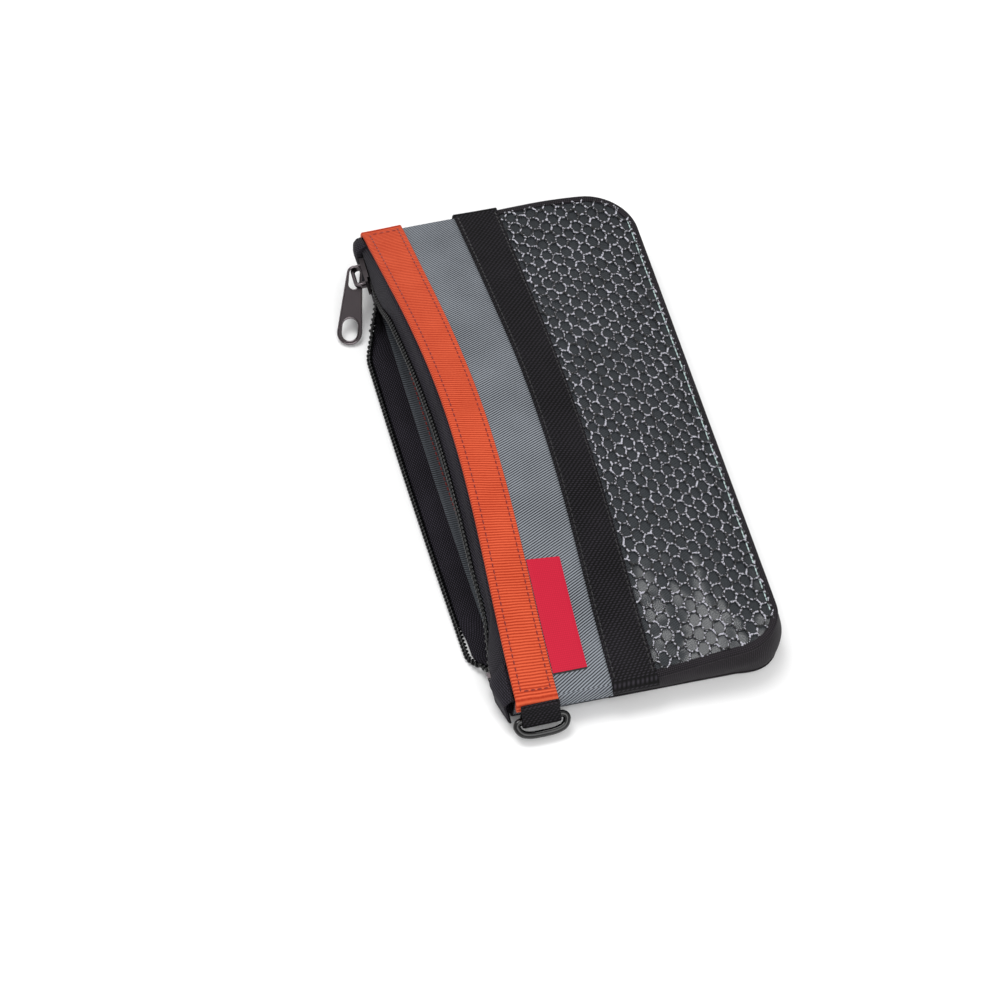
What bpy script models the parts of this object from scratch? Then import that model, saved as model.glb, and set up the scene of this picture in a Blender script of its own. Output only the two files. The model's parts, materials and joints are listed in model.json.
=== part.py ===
"""Small zipped parts bag with a netted window, lying open on its back.

Run with: blender --background --python part.py
Lengths are in metres. +Y runs along the bag to its far end, +X points from the
zipped mouth to the folded base, and +Z is up through the front panel.
"""

import math

import bmesh
import bpy
from mathutils import Matrix, Vector

mm = 0.001

# Driving sizes of the bag
bag_length = 284 * mm
window_width = 61.2 * mm
black_band_width = 21.5 * mm
grey_panel_width = 25.3 * mm
orange_band_width = 19 * mm
gusset_height = 24 * mm
base_corner_radius = 21 * mm
far_end_taper = 9 * mm
far_mouth_taper = 1.7 * mm
near_end_taper = 3.5 * mm

# Fabrics and the film
back_fabric = 1.2 * mm
gusset_fabric = 1.0 * mm
panel_fabric = 0.8 * mm
band_webbing = 1.0 * mm
film_thickness = 0.5 * mm
net_thickness = 0.7 * mm
label_thickness = 0.5 * mm
tape_thickness = 0.7 * mm
hem_thickness = 0.8 * mm
fabric_gap = 0.4 * mm
seam_allowance = 6 * mm

# How the gusset and the film stand proud
gusset_bulge = 2.5 * mm
orange_turn_down = 4 * mm

# Slopes of the front strips from base to mouth, in degrees, rising positive
arched_slopes = (10.0, 20.0, 14.0, 19.0)
near_slopes = (-9.5, -2.5, -1.0, 2.5)
far_slopes = (-0.5, -1.0, 0.0, -0.5)
film_crown_slope = 5.0
arch_power = 0.85

# Zip
coil_radius = 1.6 * mm
coil_gap = 0.3 * mm
tape_reach = 10 * mm
lower_tape_reach = 10.5 * mm
lip_bow = 2 * mm
tape_drop_arched = 58.0
tape_drop_ends = 74.0
slider_rest_out = 1.3 * mm
slider_rest_height = 18.5 * mm
slider_end_height = 17 * mm
slider_end_out = 6.5 * mm
near_chain_height = 8.5 * mm
near_chain_out = 4.2 * mm
near_chain_inset = 27.7 * mm
far_chain_height = 17.5 * mm
chain_end_tuck = 3.5 * mm
far_end_tuck = 0.8 * mm
upper_close_length = 41 * mm
lower_close_length = 33 * mm
near_close_length = 18 * mm
slider_stop_gap = 6 * mm
slider_lean = 10.0
knee_reach_share = 0.75
stop_length = 3 * mm
stop_wall = 0.7 * mm
stop_gap = 1.2 * mm
stop_tab_gap = 1 * mm
tape_coil_gap = 0.6 * mm
tape_end_margin = 4 * mm
near_tab_length = 16 * mm
far_tab_length = 4.6 * mm
tab_end_margin = 0.6 * mm
tab_fabric = 0.9 * mm

# Slider, crown and pull
slider_length = 16 * mm
slider_front_width = 12.4 * mm
slider_plate = 1.3 * mm
slider_flange = 0.9 * mm
slider_clearance = 0.35 * mm
slider_outline_shares = ((-1, 0.55), (-0.85, 0.76), (0.25, 0.95), (0.8, 1.0), (1, 0.84))
slider_post_shares = (0.3, 0.6, 1.0)
plate_overlap = 0.4 * mm
coil_spread = 1.4 * mm
crown_length = 12.8 * mm
crown_width = 2.2 * mm
crown_bar = 1.4 * mm
crown_gap = 3.4 * mm
crown_seat_gap = 0.3 * mm
crown_corner = 1.2 * mm
pull_length = 38.2 * mm
pull_top_width = 7.4 * mm
pull_foot_width = 12.0 * mm
pull_thickness = 1.6 * mm
pull_rim = 1.2 * mm
pull_eye_width = 5.0 * mm
pull_eye_length = 10.2 * mm
pull_hole_width = 7.4 * mm
pull_hole_length = 10.8 * mm
pull_hole_rim = 1.9 * mm
pull_rest_fall = 31.0
pull_rest_turn = 19.0
pull_slide = 0.3 * mm
pull_hang = 0.3 * mm
pull_bevel = 0.3 * mm

# Hanging ring and its webbing
ring_bar = 3.5 * mm
ring_webbing = 18 * mm
ring_side_gap = 1 * mm
ring_bow = 7 * mm
ring_fullness = 3.2
ring_corner = 2.3 * mm
ring_bar_height = 7.8 * mm
ring_bar_out = 4.6 * mm
ring_droop = 30.0
loop_webbing = 1.2 * mm
loop_bar_gap = 0.4 * mm
loop_root_height = 17 * mm
loop_sewn_share = 0.45
ring_shift = 1.2 * mm

# Label
label_width = 16.5 * mm
label_length = 51.5 * mm
label_start = 11.5 * mm

# Net: gaps across and along the window, and the width of its cords
net_column_count = 6
net_row_count = 25
net_cord = 1.3 * mm

# Angles in degrees over which an edge shows as sharp
fabric_edge_angle = 40.0
coil_edge_angle = 50.0
metal_edge_angle = 35.0

# Counts that set how finely curves are divided
front_station_count = 30
corner_station_count = 6
strip_station_counts = (5, 3, 3, 3)
coil_station_count = 34
slider_station_count = 10
integration_count = 64
ring_corner_count = 5
ring_bow_count = 17
ring_side_count = 12

# Sizes that follow from the driving ones
front_depth = window_width + black_band_width + grey_panel_width + orange_band_width
half_length = bag_length / 2
base_x = front_depth / 2
mouth_x = base_x - front_depth
grey_start = window_width + seam_allowance + fabric_gap
grey_gusset_start = window_width + black_band_width
orange_start = front_depth - orange_band_width
band_lift = panel_fabric + fabric_gap
wall_foot = back_fabric + fabric_gap


def mix(a, b, share):
    return a + (b - a) * share


def smooth(share):
    share = min(max(share, 0.0), 1.0)
    return share * share * (3 - 2 * share)


# The front panel: its slope is integrated from the base seam, so every strip keeps its width

strip_middles = (
    window_width / 2,
    window_width + black_band_width / 2,
    window_width + black_band_width + grey_panel_width / 2,
    front_depth - orange_band_width / 2,
)


def slope_from(table, reach):
    """Slope in degrees at this reach from the base seam, blended between strip middles."""
    if reach <= strip_middles[0]:
        return table[0]
    for i in range(1, len(table)):
        if reach <= strip_middles[i]:
            span = strip_middles[i] - strip_middles[i - 1]
            share = (reach - strip_middles[i - 1]) / span
            return mix(table[i - 1], table[i], smooth(share))
    return table[-1]


def arch_share(along):
    """How far the mouth is lifted at this share of the length, 0 at the ends and 1 mid-way."""
    return math.sin(math.pi * min(max(along, 0.0), 1.0)) ** arch_power


def front_slope(reach, along):
    ends = mix(slope_from(near_slopes, reach), slope_from(far_slopes, reach), along)
    slope = mix(ends, slope_from(arched_slopes, reach), arch_share(along))
    if reach < window_width:
        slope += film_crown_slope * math.cos(math.pi * reach / window_width)
    return math.radians(slope)


def end_of_front(reach, far):
    """Y of the end seam at this reach from the base, with the rounded base corner."""
    drawn_in = 0
    if reach < base_corner_radius:
        rest = base_corner_radius - max(reach, 0)
        drawn_in = base_corner_radius - math.sqrt(base_corner_radius**2 - rest**2)
    share = reach / front_depth
    taper = near_end_taper * share
    if far:
        taper = far_end_taper * (1 - share) ** 2 + far_mouth_taper * share
    return half_length - drawn_in - taper


def front_y(reach, across):
    """Y for across from -1 at the near end seam to 1 at the far end seam."""
    return across * end_of_front(reach, across > 0)


def front_point(reach, across, lift=0):
    """Point on the front panel, lifted off it square to its section."""
    y = front_y(reach, across)
    along = (y + half_length) / bag_length
    x, z = base_x, gusset_height
    step = reach / integration_count
    for i in range(integration_count):
        slope = front_slope((i + 0.5) * step, along)
        x -= step * math.cos(slope)
        z += step * math.sin(slope)
    slope = front_slope(reach, along)
    return Vector((x + lift * math.sin(slope), y, z + lift * math.cos(slope)))


def spread(low, high, count):
    return [mix(low, high, i / (count - 1)) for i in range(count)]


def shared_stations(bounds, steps):
    found = [bounds[0]]
    for low, high, count in zip(bounds, bounds[1:], steps):
        found += spread(low, high, count + 1)[1:]
    return found


end_crowding_share = 0.35
across_stations = [
    mix(across, math.sin(across * math.pi / 2), end_crowding_share)
    for across in spread(-1, 1, front_station_count)
]
corner_turns = spread(0, math.pi / 2, corner_station_count)
corner_reaches = [base_corner_radius * (1 - math.cos(turn)) for turn in corner_turns]
front_bounds = (base_corner_radius, window_width, grey_gusset_start, orange_start, front_depth)
front_stations = corner_reaches + shared_stations(front_bounds, strip_station_counts)[1:]


# Materials and mesh helpers


def material(name, colour, roughness, metallic=0.0, alpha=1.0):
    made = bpy.data.materials.new(name)
    made.use_nodes = True
    shader = made.node_tree.nodes["Principled BSDF"]
    shader.inputs["Base Color"].default_value = (*colour, 1.0)
    shader.inputs["Roughness"].default_value = roughness
    shader.inputs["Metallic"].default_value = metallic
    shader.inputs["Alpha"].default_value = alpha
    made.diffuse_color = (*colour, alpha)
    return made


grey_twill = material("grey_twill", (0.17, 0.21, 0.23), 0.85)
black_twill = material("black_twill", (0.012, 0.012, 0.013), 0.85)
black_webbing = material("black_webbing", (0.008, 0.008, 0.009), 0.8)
orange_webbing = material("orange_webbing", (0.78, 0.13, 0.03), 0.75)
red_label = material("red_label", (0.55, 0.01, 0.03), 0.7)
clear_film = material("clear_film", (0.10, 0.12, 0.14), 0.15, alpha=0.35)
net_yarn = material("net_yarn", (0.03, 0.03, 0.035), 0.5)
zip_tape = material("zip_tape", (0.01, 0.01, 0.011), 0.9)
zip_nylon = material("zip_nylon", (0.006, 0.006, 0.007), 0.35)
black_nickel = material("black_nickel", (0.10, 0.095, 0.09), 0.28, metallic=1.0)
black_acetal = material("black_acetal", (0.012, 0.012, 0.012), 0.3)


def object_from(name, mesh, surface, rounded_over=None):
    mesh.materials.append(surface)
    made = bpy.data.objects.new(name, mesh)
    bpy.context.scene.collection.objects.link(made)
    if rounded_over is not None:
        mesh.shade_smooth()
        mesh.set_sharp_from_angle(angle=math.radians(rounded_over))
    return made


def mesh_from(name, bm):
    bmesh.ops.recalc_face_normals(bm, faces=bm.faces)
    mesh = bpy.data.meshes.new(name)
    bm.to_mesh(mesh)
    bm.free()
    return mesh


def sheet(name, rows, thickness, surface):
    """A closed sheet of fabric: a grid of points, thickened on the side its rows turn towards."""
    bm = bmesh.new()
    grid = [[bm.verts.new(point) for point in row] for row in rows]
    for lower, upper in zip(grid, grid[1:]):
        for i in range(len(lower) - 1):
            bm.faces.new((lower[i], lower[i + 1], upper[i + 1], upper[i]))
    mesh = bpy.data.meshes.new(name)
    bm.to_mesh(mesh)
    bm.free()
    made = object_from(name, mesh, surface, fabric_edge_angle)
    solid = made.modifiers.new("thickness", "SOLIDIFY")
    solid.thickness = thickness
    solid.offset = 1
    return made


def tube(name, points, radius, surface, sides=8):
    bm = bmesh.new()
    rings = []
    for i, point in enumerate(points):
        ahead = (points[min(i + 1, len(points) - 1)] - points[max(i - 1, 0)]).normalized()
        side = ahead.cross(Vector((0, 0, 1))).normalized()
        up = side.cross(ahead)
        ring = []
        for k in range(sides):
            turn = 2 * math.pi * (k + 0.5) / sides
            offset = side * math.cos(turn) + up * math.sin(turn)
            ring.append(bm.verts.new(point + offset * radius))
        rings.append(ring)
    for a, b in zip(rings, rings[1:]):
        for k in range(sides):
            n = (k + 1) % sides
            bm.faces.new((a[k], a[n], b[n], b[k]))
    bm.faces.new(rings[0])
    bm.faces.new(rings[-1])
    return object_from(name, mesh_from(name, bm), surface, coil_edge_angle)


def prism(name, outline, low, high, surface):
    """An outline of (x, y) points extruded from low to high in its own z."""
    bm = bmesh.new()
    floor = [bm.verts.new((x, y, low)) for x, y in outline]
    roof = [bm.verts.new((x, y, high)) for x, y in outline]
    bm.faces.new(floor)
    bm.faces.new(roof)
    for i in range(len(outline)):
        n = (i + 1) % len(outline)
        bm.faces.new((floor[i], floor[n], roof[n], roof[i]))
    return object_from(name, mesh_from(name, bm), surface, metal_edge_angle)


def arc(centre, radius, start, end, count):
    """Points of an arc, its angles in degrees."""
    points = []
    for turn in spread(math.radians(start), math.radians(end), count):
        points.append((centre[0] + radius * math.cos(turn), centre[1] + radius * math.sin(turn)))
    return points


def slot_outline(centre, width, length, count=7):
    """A long hole with round ends, its length along y."""
    reach = (length - width) / 2
    top = arc((centre[0], centre[1] + reach), width / 2, 0, 180, count)
    foot = arc((centre[0], centre[1] - reach), width / 2, 180, 360, count)
    return top + foot


def boolean(target, tool, operation):
    made = target.modifiers.new(operation.lower(), "BOOLEAN")
    made.operation = operation
    made.object = tool
    tool.hide_render = True
    tool.display_type = "WIRE"
    tool.hide_set(True)


# Clearing the scene, and the empties that the pieces hang from

for old in list(bpy.data.objects):
    bpy.data.objects.remove(old, do_unlink=True)


def empty(name, parent=None):
    made = bpy.data.objects.new(name, None)
    bpy.context.scene.collection.objects.link(made)
    made.parent = parent
    return made


bag = empty("bag")
fixed_pieces = []


def keep(piece):
    piece.parent = bag
    fixed_pieces.append(piece)
    return piece


# Front panel pieces


def reaches_between(start, end):
    """Shared stations across the front, so that layers bend at the same places."""
    inner = [reach for reach in front_stations if start + fabric_gap < reach < end - fabric_gap]
    return [start] + inner + [end]


def front_sheet(name, start, end, lift, thickness, surface):
    rows = []
    for reach in reaches_between(start, end):
        rows.append([front_point(reach, across, lift) for across in across_stations])
    return keep(sheet(name, rows, thickness, surface))


def make_window_film():
    end = window_width + seam_allowance
    return front_sheet("window_film", 0, end, 0, film_thickness, clear_film)


def make_grey_panel():
    return front_sheet("grey_panel", grey_start, front_depth, 0, panel_fabric, grey_twill)


def make_black_band():
    end = window_width + black_band_width
    return front_sheet("black_band", window_width, end, band_lift, band_webbing, black_webbing)


def net_cell(column, row):
    """Corners of one six-sided gap, as (reach share, across share) of the window."""
    middle = (column + 0.5 + 0.5 * (row % 2)) / (net_column_count + 0.5)
    level = (row + 0.5) / net_row_count
    half_wide = 0.5 / (net_column_count + 0.5)
    corners = []
    for side, rise in ((0, 2), (1, 1), (1, -1), (0, -2), (-1, -1), (-1, 1)):
        reach = middle + side * half_wide
        corners.append((reach, level + rise / (3 * net_row_count)))
    return corners


def make_window_net():
    """Six-sided knitted net: each gap is ringed by half a cord, and the rings share corners."""
    margin = fabric_gap
    low, high = margin, window_width - fabric_gap
    lift = film_thickness + fabric_gap

    def place(corner):
        reach = mix(low, high, min(max(corner[0], 0.0), 1.0))
        across = mix(-1, 1, min(max(corner[1], 0.0), 1.0))
        return reach, front_y(reach, across)

    bm = bmesh.new()
    shared = {}

    def vertex(flat, key):
        if key not in shared:
            reach, y = flat
            across = y / end_of_front(reach, y > 0)
            shared[key] = bm.verts.new(front_point(reach, across, lift))
        return shared[key]

    for row in range(net_row_count):
        for column in range(net_column_count):
            corners = net_cell(column, row)
            flats = [place(corner) for corner in corners]
            centre = [sum(f[k] for f in flats) / len(flats) for k in range(2)]
            outer, inner = [], []
            for corner, flat in zip(corners, flats):
                away = math.hypot(flat[0] - centre[0], flat[1] - centre[1])
                share = 1 - net_cord / math.sqrt(3) / away
                near = (mix(centre[0], flat[0], share), mix(centre[1], flat[1], share))
                key = (round(corner[0] * 1e4), round(corner[1] * 1e4))
                outer.append(vertex(flat, key))
                inner.append(vertex(near, (row, column, key)))
            for i in range(6):
                n = (i + 1) % 6
                if outer[i] is not outer[n]:
                    bm.faces.new((outer[i], outer[n], inner[n], inner[i]))
    mesh = bpy.data.meshes.new("window_net")
    bm.to_mesh(mesh)
    bm.free()
    net = keep(object_from("window_net", mesh, net_yarn))
    solid = net.modifiers.new("thickness", "SOLIDIFY")
    solid.thickness = net_thickness
    solid.offset = 1
    return net


def make_label():
    """A bare woven label, its long edge against the orange band near the near end."""
    rows = []
    first = -half_length + label_start
    for reach in reaches_between(orange_start - label_width, orange_start - fabric_gap):
        row = []
        for y in spread(first, first + label_length, 7):
            across = y / end_of_front(reach, y > 0)
            row.append(front_point(reach, across, band_lift))
        rows.append(row)
    return keep(sheet("label", rows, label_thickness, red_label))


def make_orange_band():
    """The band runs over the front and turns down over both ends of the gusset."""
    rows = []
    past_end = Vector((0, band_lift, 0))
    for reach in reaches_between(orange_start, front_depth):
        near = front_point(reach, -1, band_lift) - past_end
        far = front_point(reach, 1, band_lift) + past_end
        over = [front_point(reach, across, band_lift) for across in across_stations[1:-1]]
        down = Vector((0, 0, orange_turn_down))
        rows.append([near - down, near] + over + [far, far - down])
    return keep(sheet("orange_band", rows, band_webbing, orange_webbing))


# Back panel, gusset and the bindings inside


def wall_point(reach, across, share, inset=0):
    """A point on the gusset, share of the way up from the back panel to the front seam."""
    foot = Vector((base_x - reach, front_y(reach, across), wall_foot))
    head = front_point(reach, across)
    head.z -= fabric_gap
    plain = foot.lerp(head, share)
    nudge = 0.01 * bag_length
    if abs(across) < 1:
        outward = Vector((1, 0, 0))
    else:
        ahead = front_y(min(reach + nudge, front_depth), across) - front_y(max(reach - nudge, 0), across)
        run = min(reach + nudge, front_depth) - max(reach - nudge, 0)
        outward = Vector((abs(ahead), math.copysign(run, across), 0)).normalized()
        if reach == 0:
            outward = Vector((1, 0, 0))
    swell = gusset_bulge * math.sin(math.pi * share) * (1 - reach / front_depth)
    return plain + outward * (swell - inset)


def wall_rows(places, low, high, inset, cuts):
    rows = []
    for share in spread(low, high, cuts):
        rows.append([wall_point(reach, across, share, inset) for reach, across in places])
    return rows


def black_gusset_places(stop):
    reaches = reaches_between(0, stop)
    near = [(reach, -1) for reach in reversed(reaches)]
    base = [(0, across) for across in across_stations[1:-1]]
    far = [(reach, 1) for reach in reaches]
    return near + base + far


def make_gusset_black():
    places = black_gusset_places(grey_gusset_start - fabric_gap)
    rows = wall_rows(places, 0, 1, gusset_fabric, 5)
    return keep(sheet("gusset_black", rows, gusset_fabric, black_twill))


def make_gusset_grey(name, side):
    reaches = reaches_between(grey_gusset_start, front_depth)
    if side < 0:
        reaches = reaches[::-1]
    rows = wall_rows([(reach, side) for reach in reaches], 0, 1, gusset_fabric, 4)
    return keep(sheet(name, rows, gusset_fabric, grey_twill))


binding_width_share = 0.14
binding_margin_share = 0.07
binding_thickness = 1.4 * mm


def make_binding(name, low):
    """A folded tape that covers the raw edges of a seam inside the bag."""
    inset = gusset_fabric + fabric_gap + binding_thickness
    places = black_gusset_places(front_depth - seam_allowance)
    rows = wall_rows(places, low, low + binding_width_share, inset, 2)
    return keep(sheet(name, rows, binding_thickness, black_webbing))


def lip_x(y):
    """The lower lip bows outward between its ends."""
    return mouth_x - lip_bow * arch_share((y + half_length) / bag_length)


def make_back_panel():
    outline = []
    for reach in reversed(front_stations[:-1]):
        outline.append((base_x - reach, -end_of_front(reach, False)))
    for across in across_stations[1:-1]:
        outline.append((base_x, front_y(0, across)))
    for reach in front_stations[:-1]:
        outline.append((base_x - reach, end_of_front(reach, True)))
    for across in reversed(across_stations):
        y = front_y(front_depth, across)
        outline.append((lip_x(y), y))
    return keep(prism("back_panel", outline, 0, back_fabric, grey_twill))


hem_width = 15 * mm
hem_end_inset = 4 * mm


def make_lower_hem():
    """The folded hem that finishes the lower lip inside."""
    height = back_fabric + tape_thickness + 2 * fabric_gap
    setback = tape_thickness + 2 * fabric_gap
    rows = []
    for share in spread(0, 1, 3):
        row = []
        for across in across_stations:
            y = front_y(front_depth, across) * (1 - hem_end_inset / half_length)
            row.append(Vector((lip_x(y) + setback + hem_width * (1 - share), y, height)))
        rows.append(row)
    return keep(sheet("lower_hem", rows, hem_thickness, grey_twill))


# Zip: the two coils run apart along the open lips and meet at both ends

lean = math.radians(slider_lean)
chain_up = Vector((-math.sin(lean), 0, math.cos(lean)))
chain_out = Vector((-math.cos(lean), 0, -math.sin(lean)))
coil_side = coil_radius + coil_gap / 2
far_tab_end = front_y(front_depth, 1) - tab_end_margin
near_tab_end = front_y(front_depth, -1) + tab_end_margin
bottom_stop_y = far_tab_end - far_tab_length - stop_tab_gap - stop_length / 2
slider_y = bottom_stop_y - (stop_length + slider_length) / 2 - stop_gap
near_chain_y = -half_length + near_chain_inset
far_chain_y = far_tab_end - far_tab_length - fabric_gap
near_chain_stop = near_chain_y - slider_stop_gap
slider_rest = Vector((mouth_x - slider_rest_out, slider_y, slider_rest_height))
slider_end = Vector((mouth_x - slider_end_out, near_chain_y + slider_length, slider_end_height))


def chain_point(y):
    """The line along which the two coils are joined."""
    if y > slider_y:
        share = (y - slider_y) / (far_chain_y - slider_y)
        tucked = smooth((y - bottom_stop_y) / (half_length - bottom_stop_y))
        x = slider_rest.x + far_end_tuck * tucked
        return Vector((x, y, mix(slider_rest_height, far_chain_height, share)))
    near = Vector((mouth_x - near_chain_out, near_chain_y, near_chain_height))
    share = (slider_y - y) / (slider_y - near_chain_y)
    point = slider_rest.lerp(near, share)
    tucked = (near_chain_stop - y) / (near_chain_stop + half_length)
    point.x += chain_end_tuck * smooth(tucked)
    return point


def near_closed_share(y):
    return smooth((near_chain_y + near_close_length - y) / near_close_length)


def closed_share(y, side):
    """1 where the coils are joined, 0 where this lip stands apart; side is 1 for the upper."""
    length = upper_close_length if side > 0 else lower_close_length
    far = smooth((y - slider_y + slider_length / 2 + length) / length)
    return max(far, near_closed_share(y))


def coil_offset(y):
    """Half the distance between the coils, opening inside the slider's forked front."""
    ahead = (slider_y - y) / (slider_length / 2)
    return coil_side + coil_spread * smooth(ahead) * (1 - near_closed_share(y))


def upper_edge(y, lift=0):
    across = y / end_of_front(front_depth, y > 0)
    return front_point(front_depth, across, lift)


def upper_coil_point(y):
    lifted = arch_share((y + half_length) / bag_length)
    drop = math.radians(mix(tape_drop_ends, tape_drop_arched, lifted))
    edge = upper_edge(y)
    free = edge + Vector((-math.cos(drop), 0, -math.sin(drop))) * tape_reach
    return free.lerp(chain_point(y) + chain_up * coil_offset(y), closed_share(y, 1))


def lower_coil_point(y):
    free = Vector((lip_x(y) - lower_tape_reach, y, coil_radius))
    return free.lerp(chain_point(y) - chain_up * coil_offset(y), closed_share(y, -1))


def coil_stations():
    """Close together through the slider and the ends, wider between."""
    inside = spread(slider_y - slider_length, far_chain_y, slider_station_count)
    between = spread(near_chain_y, slider_y - slider_length, coil_station_count)
    ends = spread(near_chain_stop, near_chain_y, 3)
    return ends[:-1] + between[:-1] + inside


def make_coil(name, point):
    return keep(tube(name, [point(y) for y in coil_stations()], coil_radius, zip_nylon))


def tape_row(start, edge, coil_point, side, y):
    """Section of a tape: from inside the seam, round the lip's edge and up to the coil.

    Where the coils are joined it turns square to them, to pass through the slider's slot.
    """
    centre = coil_point(y)
    along = (coil_point(y + coil_radius) - coil_point(y - coil_radius)).normalized()
    closed = closed_share(y, side)
    reach = slider_front_width / 2 + fabric_gap - coil_offset(y)
    reach = min(reach, abs((edge - centre).dot(chain_up)) * knee_reach_share)
    knee = centre + chain_up * side * max(reach, coil_radius + tape_coil_gap + coil_gap)
    square = chain_up * -side
    towards = (centre - edge).normalized().lerp(square, closed)
    towards = (towards - along * towards.dot(along)).normalized()
    end = centre - towards * (coil_radius + tape_coil_gap)
    return [start, edge, edge.lerp(end, 0.5).lerp(knee, closed), end]


def tape_stations():
    near = front_y(front_depth, -1) + tape_end_margin
    far = front_y(front_depth, 1) - tape_end_margin
    return spread(near, near_chain_stop, 5)[:-1] + coil_stations() + [far]


def upper_tape_row(y):
    under = -(tape_thickness + fabric_gap)
    across = y / end_of_front(front_depth, y > 0)
    start = front_point(front_depth - seam_allowance, across, under)
    edge = front_point(front_depth, across, under)
    return tape_row(start, edge, upper_coil_point, 1, y)


def lower_tape_row(y):
    height = back_fabric + fabric_gap
    start = Vector((lip_x(y) + seam_allowance, y, height))
    edge = Vector((lip_x(y), y, height))
    return tape_row(start, edge, lower_coil_point, -1, y)


def make_zip_tape(name, row_at):
    columns = list(map(list, zip(*[row_at(y) for y in tape_stations()])))
    return keep(sheet(name, columns, tape_thickness, zip_tape))


def zip_frame(y, x=(slider_end - slider_rest).normalized()):
    """Local axes on the zip: x towards the near end, y to the upper lip, z outward."""
    y_axis = (chain_up - x * chain_up.dot(x)).normalized()
    frame = Matrix((x, y_axis, x.cross(y_axis))).transposed().to_4x4()
    frame.translation = chain_point(y)
    return frame


def staple(name, y, low, high, legs):
    """A pressed metal stop that hugs the coils from outside, its legs beside them."""
    inside = coil_radius + fabric_gap
    outside = inside + stop_wall
    leg_foot = tape_thickness + fabric_gap
    outline = [(low, inside), (high, inside)]
    if 1 in legs:
        outline += [(high, leg_foot), (high + stop_wall, leg_foot)]
        outline += [(high + stop_wall, outside)]
    else:
        outline += [(high, outside)]
    if -1 in legs:
        outline += [(low - stop_wall, outside), (low - stop_wall, leg_foot), (low, leg_foot)]
    else:
        outline += [(low, outside)]
    made = prism(name, outline, -stop_length / 2, stop_length / 2, black_nickel)
    turned = Matrix(((0, 0, 1), (1, 0, 0), (0, 1, 0))).to_4x4()
    ahead = chain_point(y - stop_length) - chain_point(y + stop_length)
    made.matrix_world = zip_frame(y, ahead.normalized()) @ turned
    return keep(made)


def make_zip_stops():
    clear = coil_side + coil_radius + coil_gap
    staple("zip_bottom_stop", bottom_stop_y, -clear, clear, (-1, 1))
    near = near_chain_stop + stop_length
    staple("zip_top_stop_upper", near, coil_gap, clear, (1,))
    staple("zip_top_stop_lower", near, -clear, -coil_gap, (-1,))


def stood_off(points, distance):
    """The section's points moved square to it, outward when it runs from lip to lip."""
    moved = []
    for i, point in enumerate(points):
        ahead = points[min(i + 1, len(points) - 1)] - points[max(i - 1, 0)]
        square = Vector((ahead.z, 0, -ahead.x)).normalized()
        moved.append(point + square * distance)
    return moved


def make_end_tab(name, start, end):
    """Tape folded over the zip's end, from the upper lip to the lower one."""
    rows = []
    for y in spread(start, end, 4):
        upper = upper_tape_row(y)[1:]
        lower = lower_tape_row(y)[1:]
        row = stood_off(upper + lower[::-1], tape_thickness + 2 * fabric_gap)
        for point in row:
            point.z = max(point.z, tab_fabric + fabric_gap)
        rows.append(row)
    columns = list(map(list, zip(*rows)))
    return keep(sheet(name, columns, tab_fabric, zip_tape))


# Slider, its crown, and the pull that hangs in the crown

slider_hub = empty("slider_travel", bag)
pull_hub = empty("pull_swing", slider_hub)
ring_hub = empty("ring_swing", bag)


def ride(piece, hub):
    """Hangs the piece on its joint's empty without moving it."""
    placed = piece.matrix_world.copy()
    piece.parent = hub
    piece.matrix_parent_inverse = hub.matrix_world.inverted()
    piece.matrix_world = placed
    return piece


def slider_outline():
    half_long = slider_length / 2
    half_wide = slider_front_width / 2
    upper = [(half_long * x, half_wide * y) for x, y in slider_outline_shares]
    return [(x, -y) for x, y in upper] + upper[::-1]


def slider_post_outline():
    """The post that parts the coils: it follows their inner sides to the slider's front."""
    upper = []
    for share in slider_post_shares:
        x = share * slider_length / 2
        room = coil_offset(slider_y - x) - coil_radius - slider_clearance
        upper.append((x, max(room, slider_clearance / 2)))
    return [(x, -y) for x, y in upper] + upper[::-1]


def make_slider():
    """Two plates joined by the post, with flanges that leave a slot for the tapes."""
    inner = coil_radius + slider_clearance
    outer = inner + slider_plate
    slot = tape_thickness + slider_clearance
    body = prism("slider_body", slider_outline(), inner, outer, black_nickel)
    foot = prism("slider_lower_plate", slider_outline(), -outer, -inner, black_nickel)
    deep = inner + plate_overlap
    post = prism("slider_post", slider_post_outline(), -deep, deep, black_nickel)
    rails = []
    for side in (-1, 1):
        edge = [point for point in slider_outline() if point[1] * side > 0][1:-1]
        inward = [(x, y - side * slider_flange) for x, y in edge]
        for low, high in ((slot, deep), (-deep, -slot)):
            rail = prism("slider_flange", edge + inward[::-1], low, high, black_nickel)
            rails.append(rail)
    body.matrix_world = zip_frame(slider_y)
    for tool in [foot, post] + rails:
        boolean(body, tool, "UNION")
        tool.matrix_world = zip_frame(slider_y)
        ride(tool, slider_hub)
    return ride(body, slider_hub)


def crown_base():
    return coil_radius + slider_clearance + slider_plate + crown_seat_gap


def make_crown():
    """The bridge on the slider's outer plate that holds the pull."""
    half = crown_length / 2
    low = crown_base()
    high = low + crown_gap + crown_bar
    outer = [(-half, low), (-half, high - crown_corner), (-half + crown_corner, high)]
    outer += [(half - crown_corner, high), (half, high - crown_corner), (half, low)]
    inner = [(half - crown_bar, low), (half - crown_bar, low + crown_gap)]
    inner += [(crown_bar - half, low + crown_gap), (crown_bar - half, low)]
    made = prism("slider_crown", outer + inner, -crown_width / 2, crown_width / 2, black_nickel)
    upright = Matrix(((1, 0, 0), (0, 0, -1), (0, 1, 0))).to_4x4()
    made.matrix_world = zip_frame(slider_y) @ upright
    return ride(made, slider_hub)


def bridge_frame():
    """The zip's axes, moved to the middle of the crown's bar: the pull swings about their z."""
    frame = zip_frame(slider_y)
    frame.translation = frame @ Vector((0, 0, crown_base() + crown_gap + crown_bar / 2))
    return frame


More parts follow.
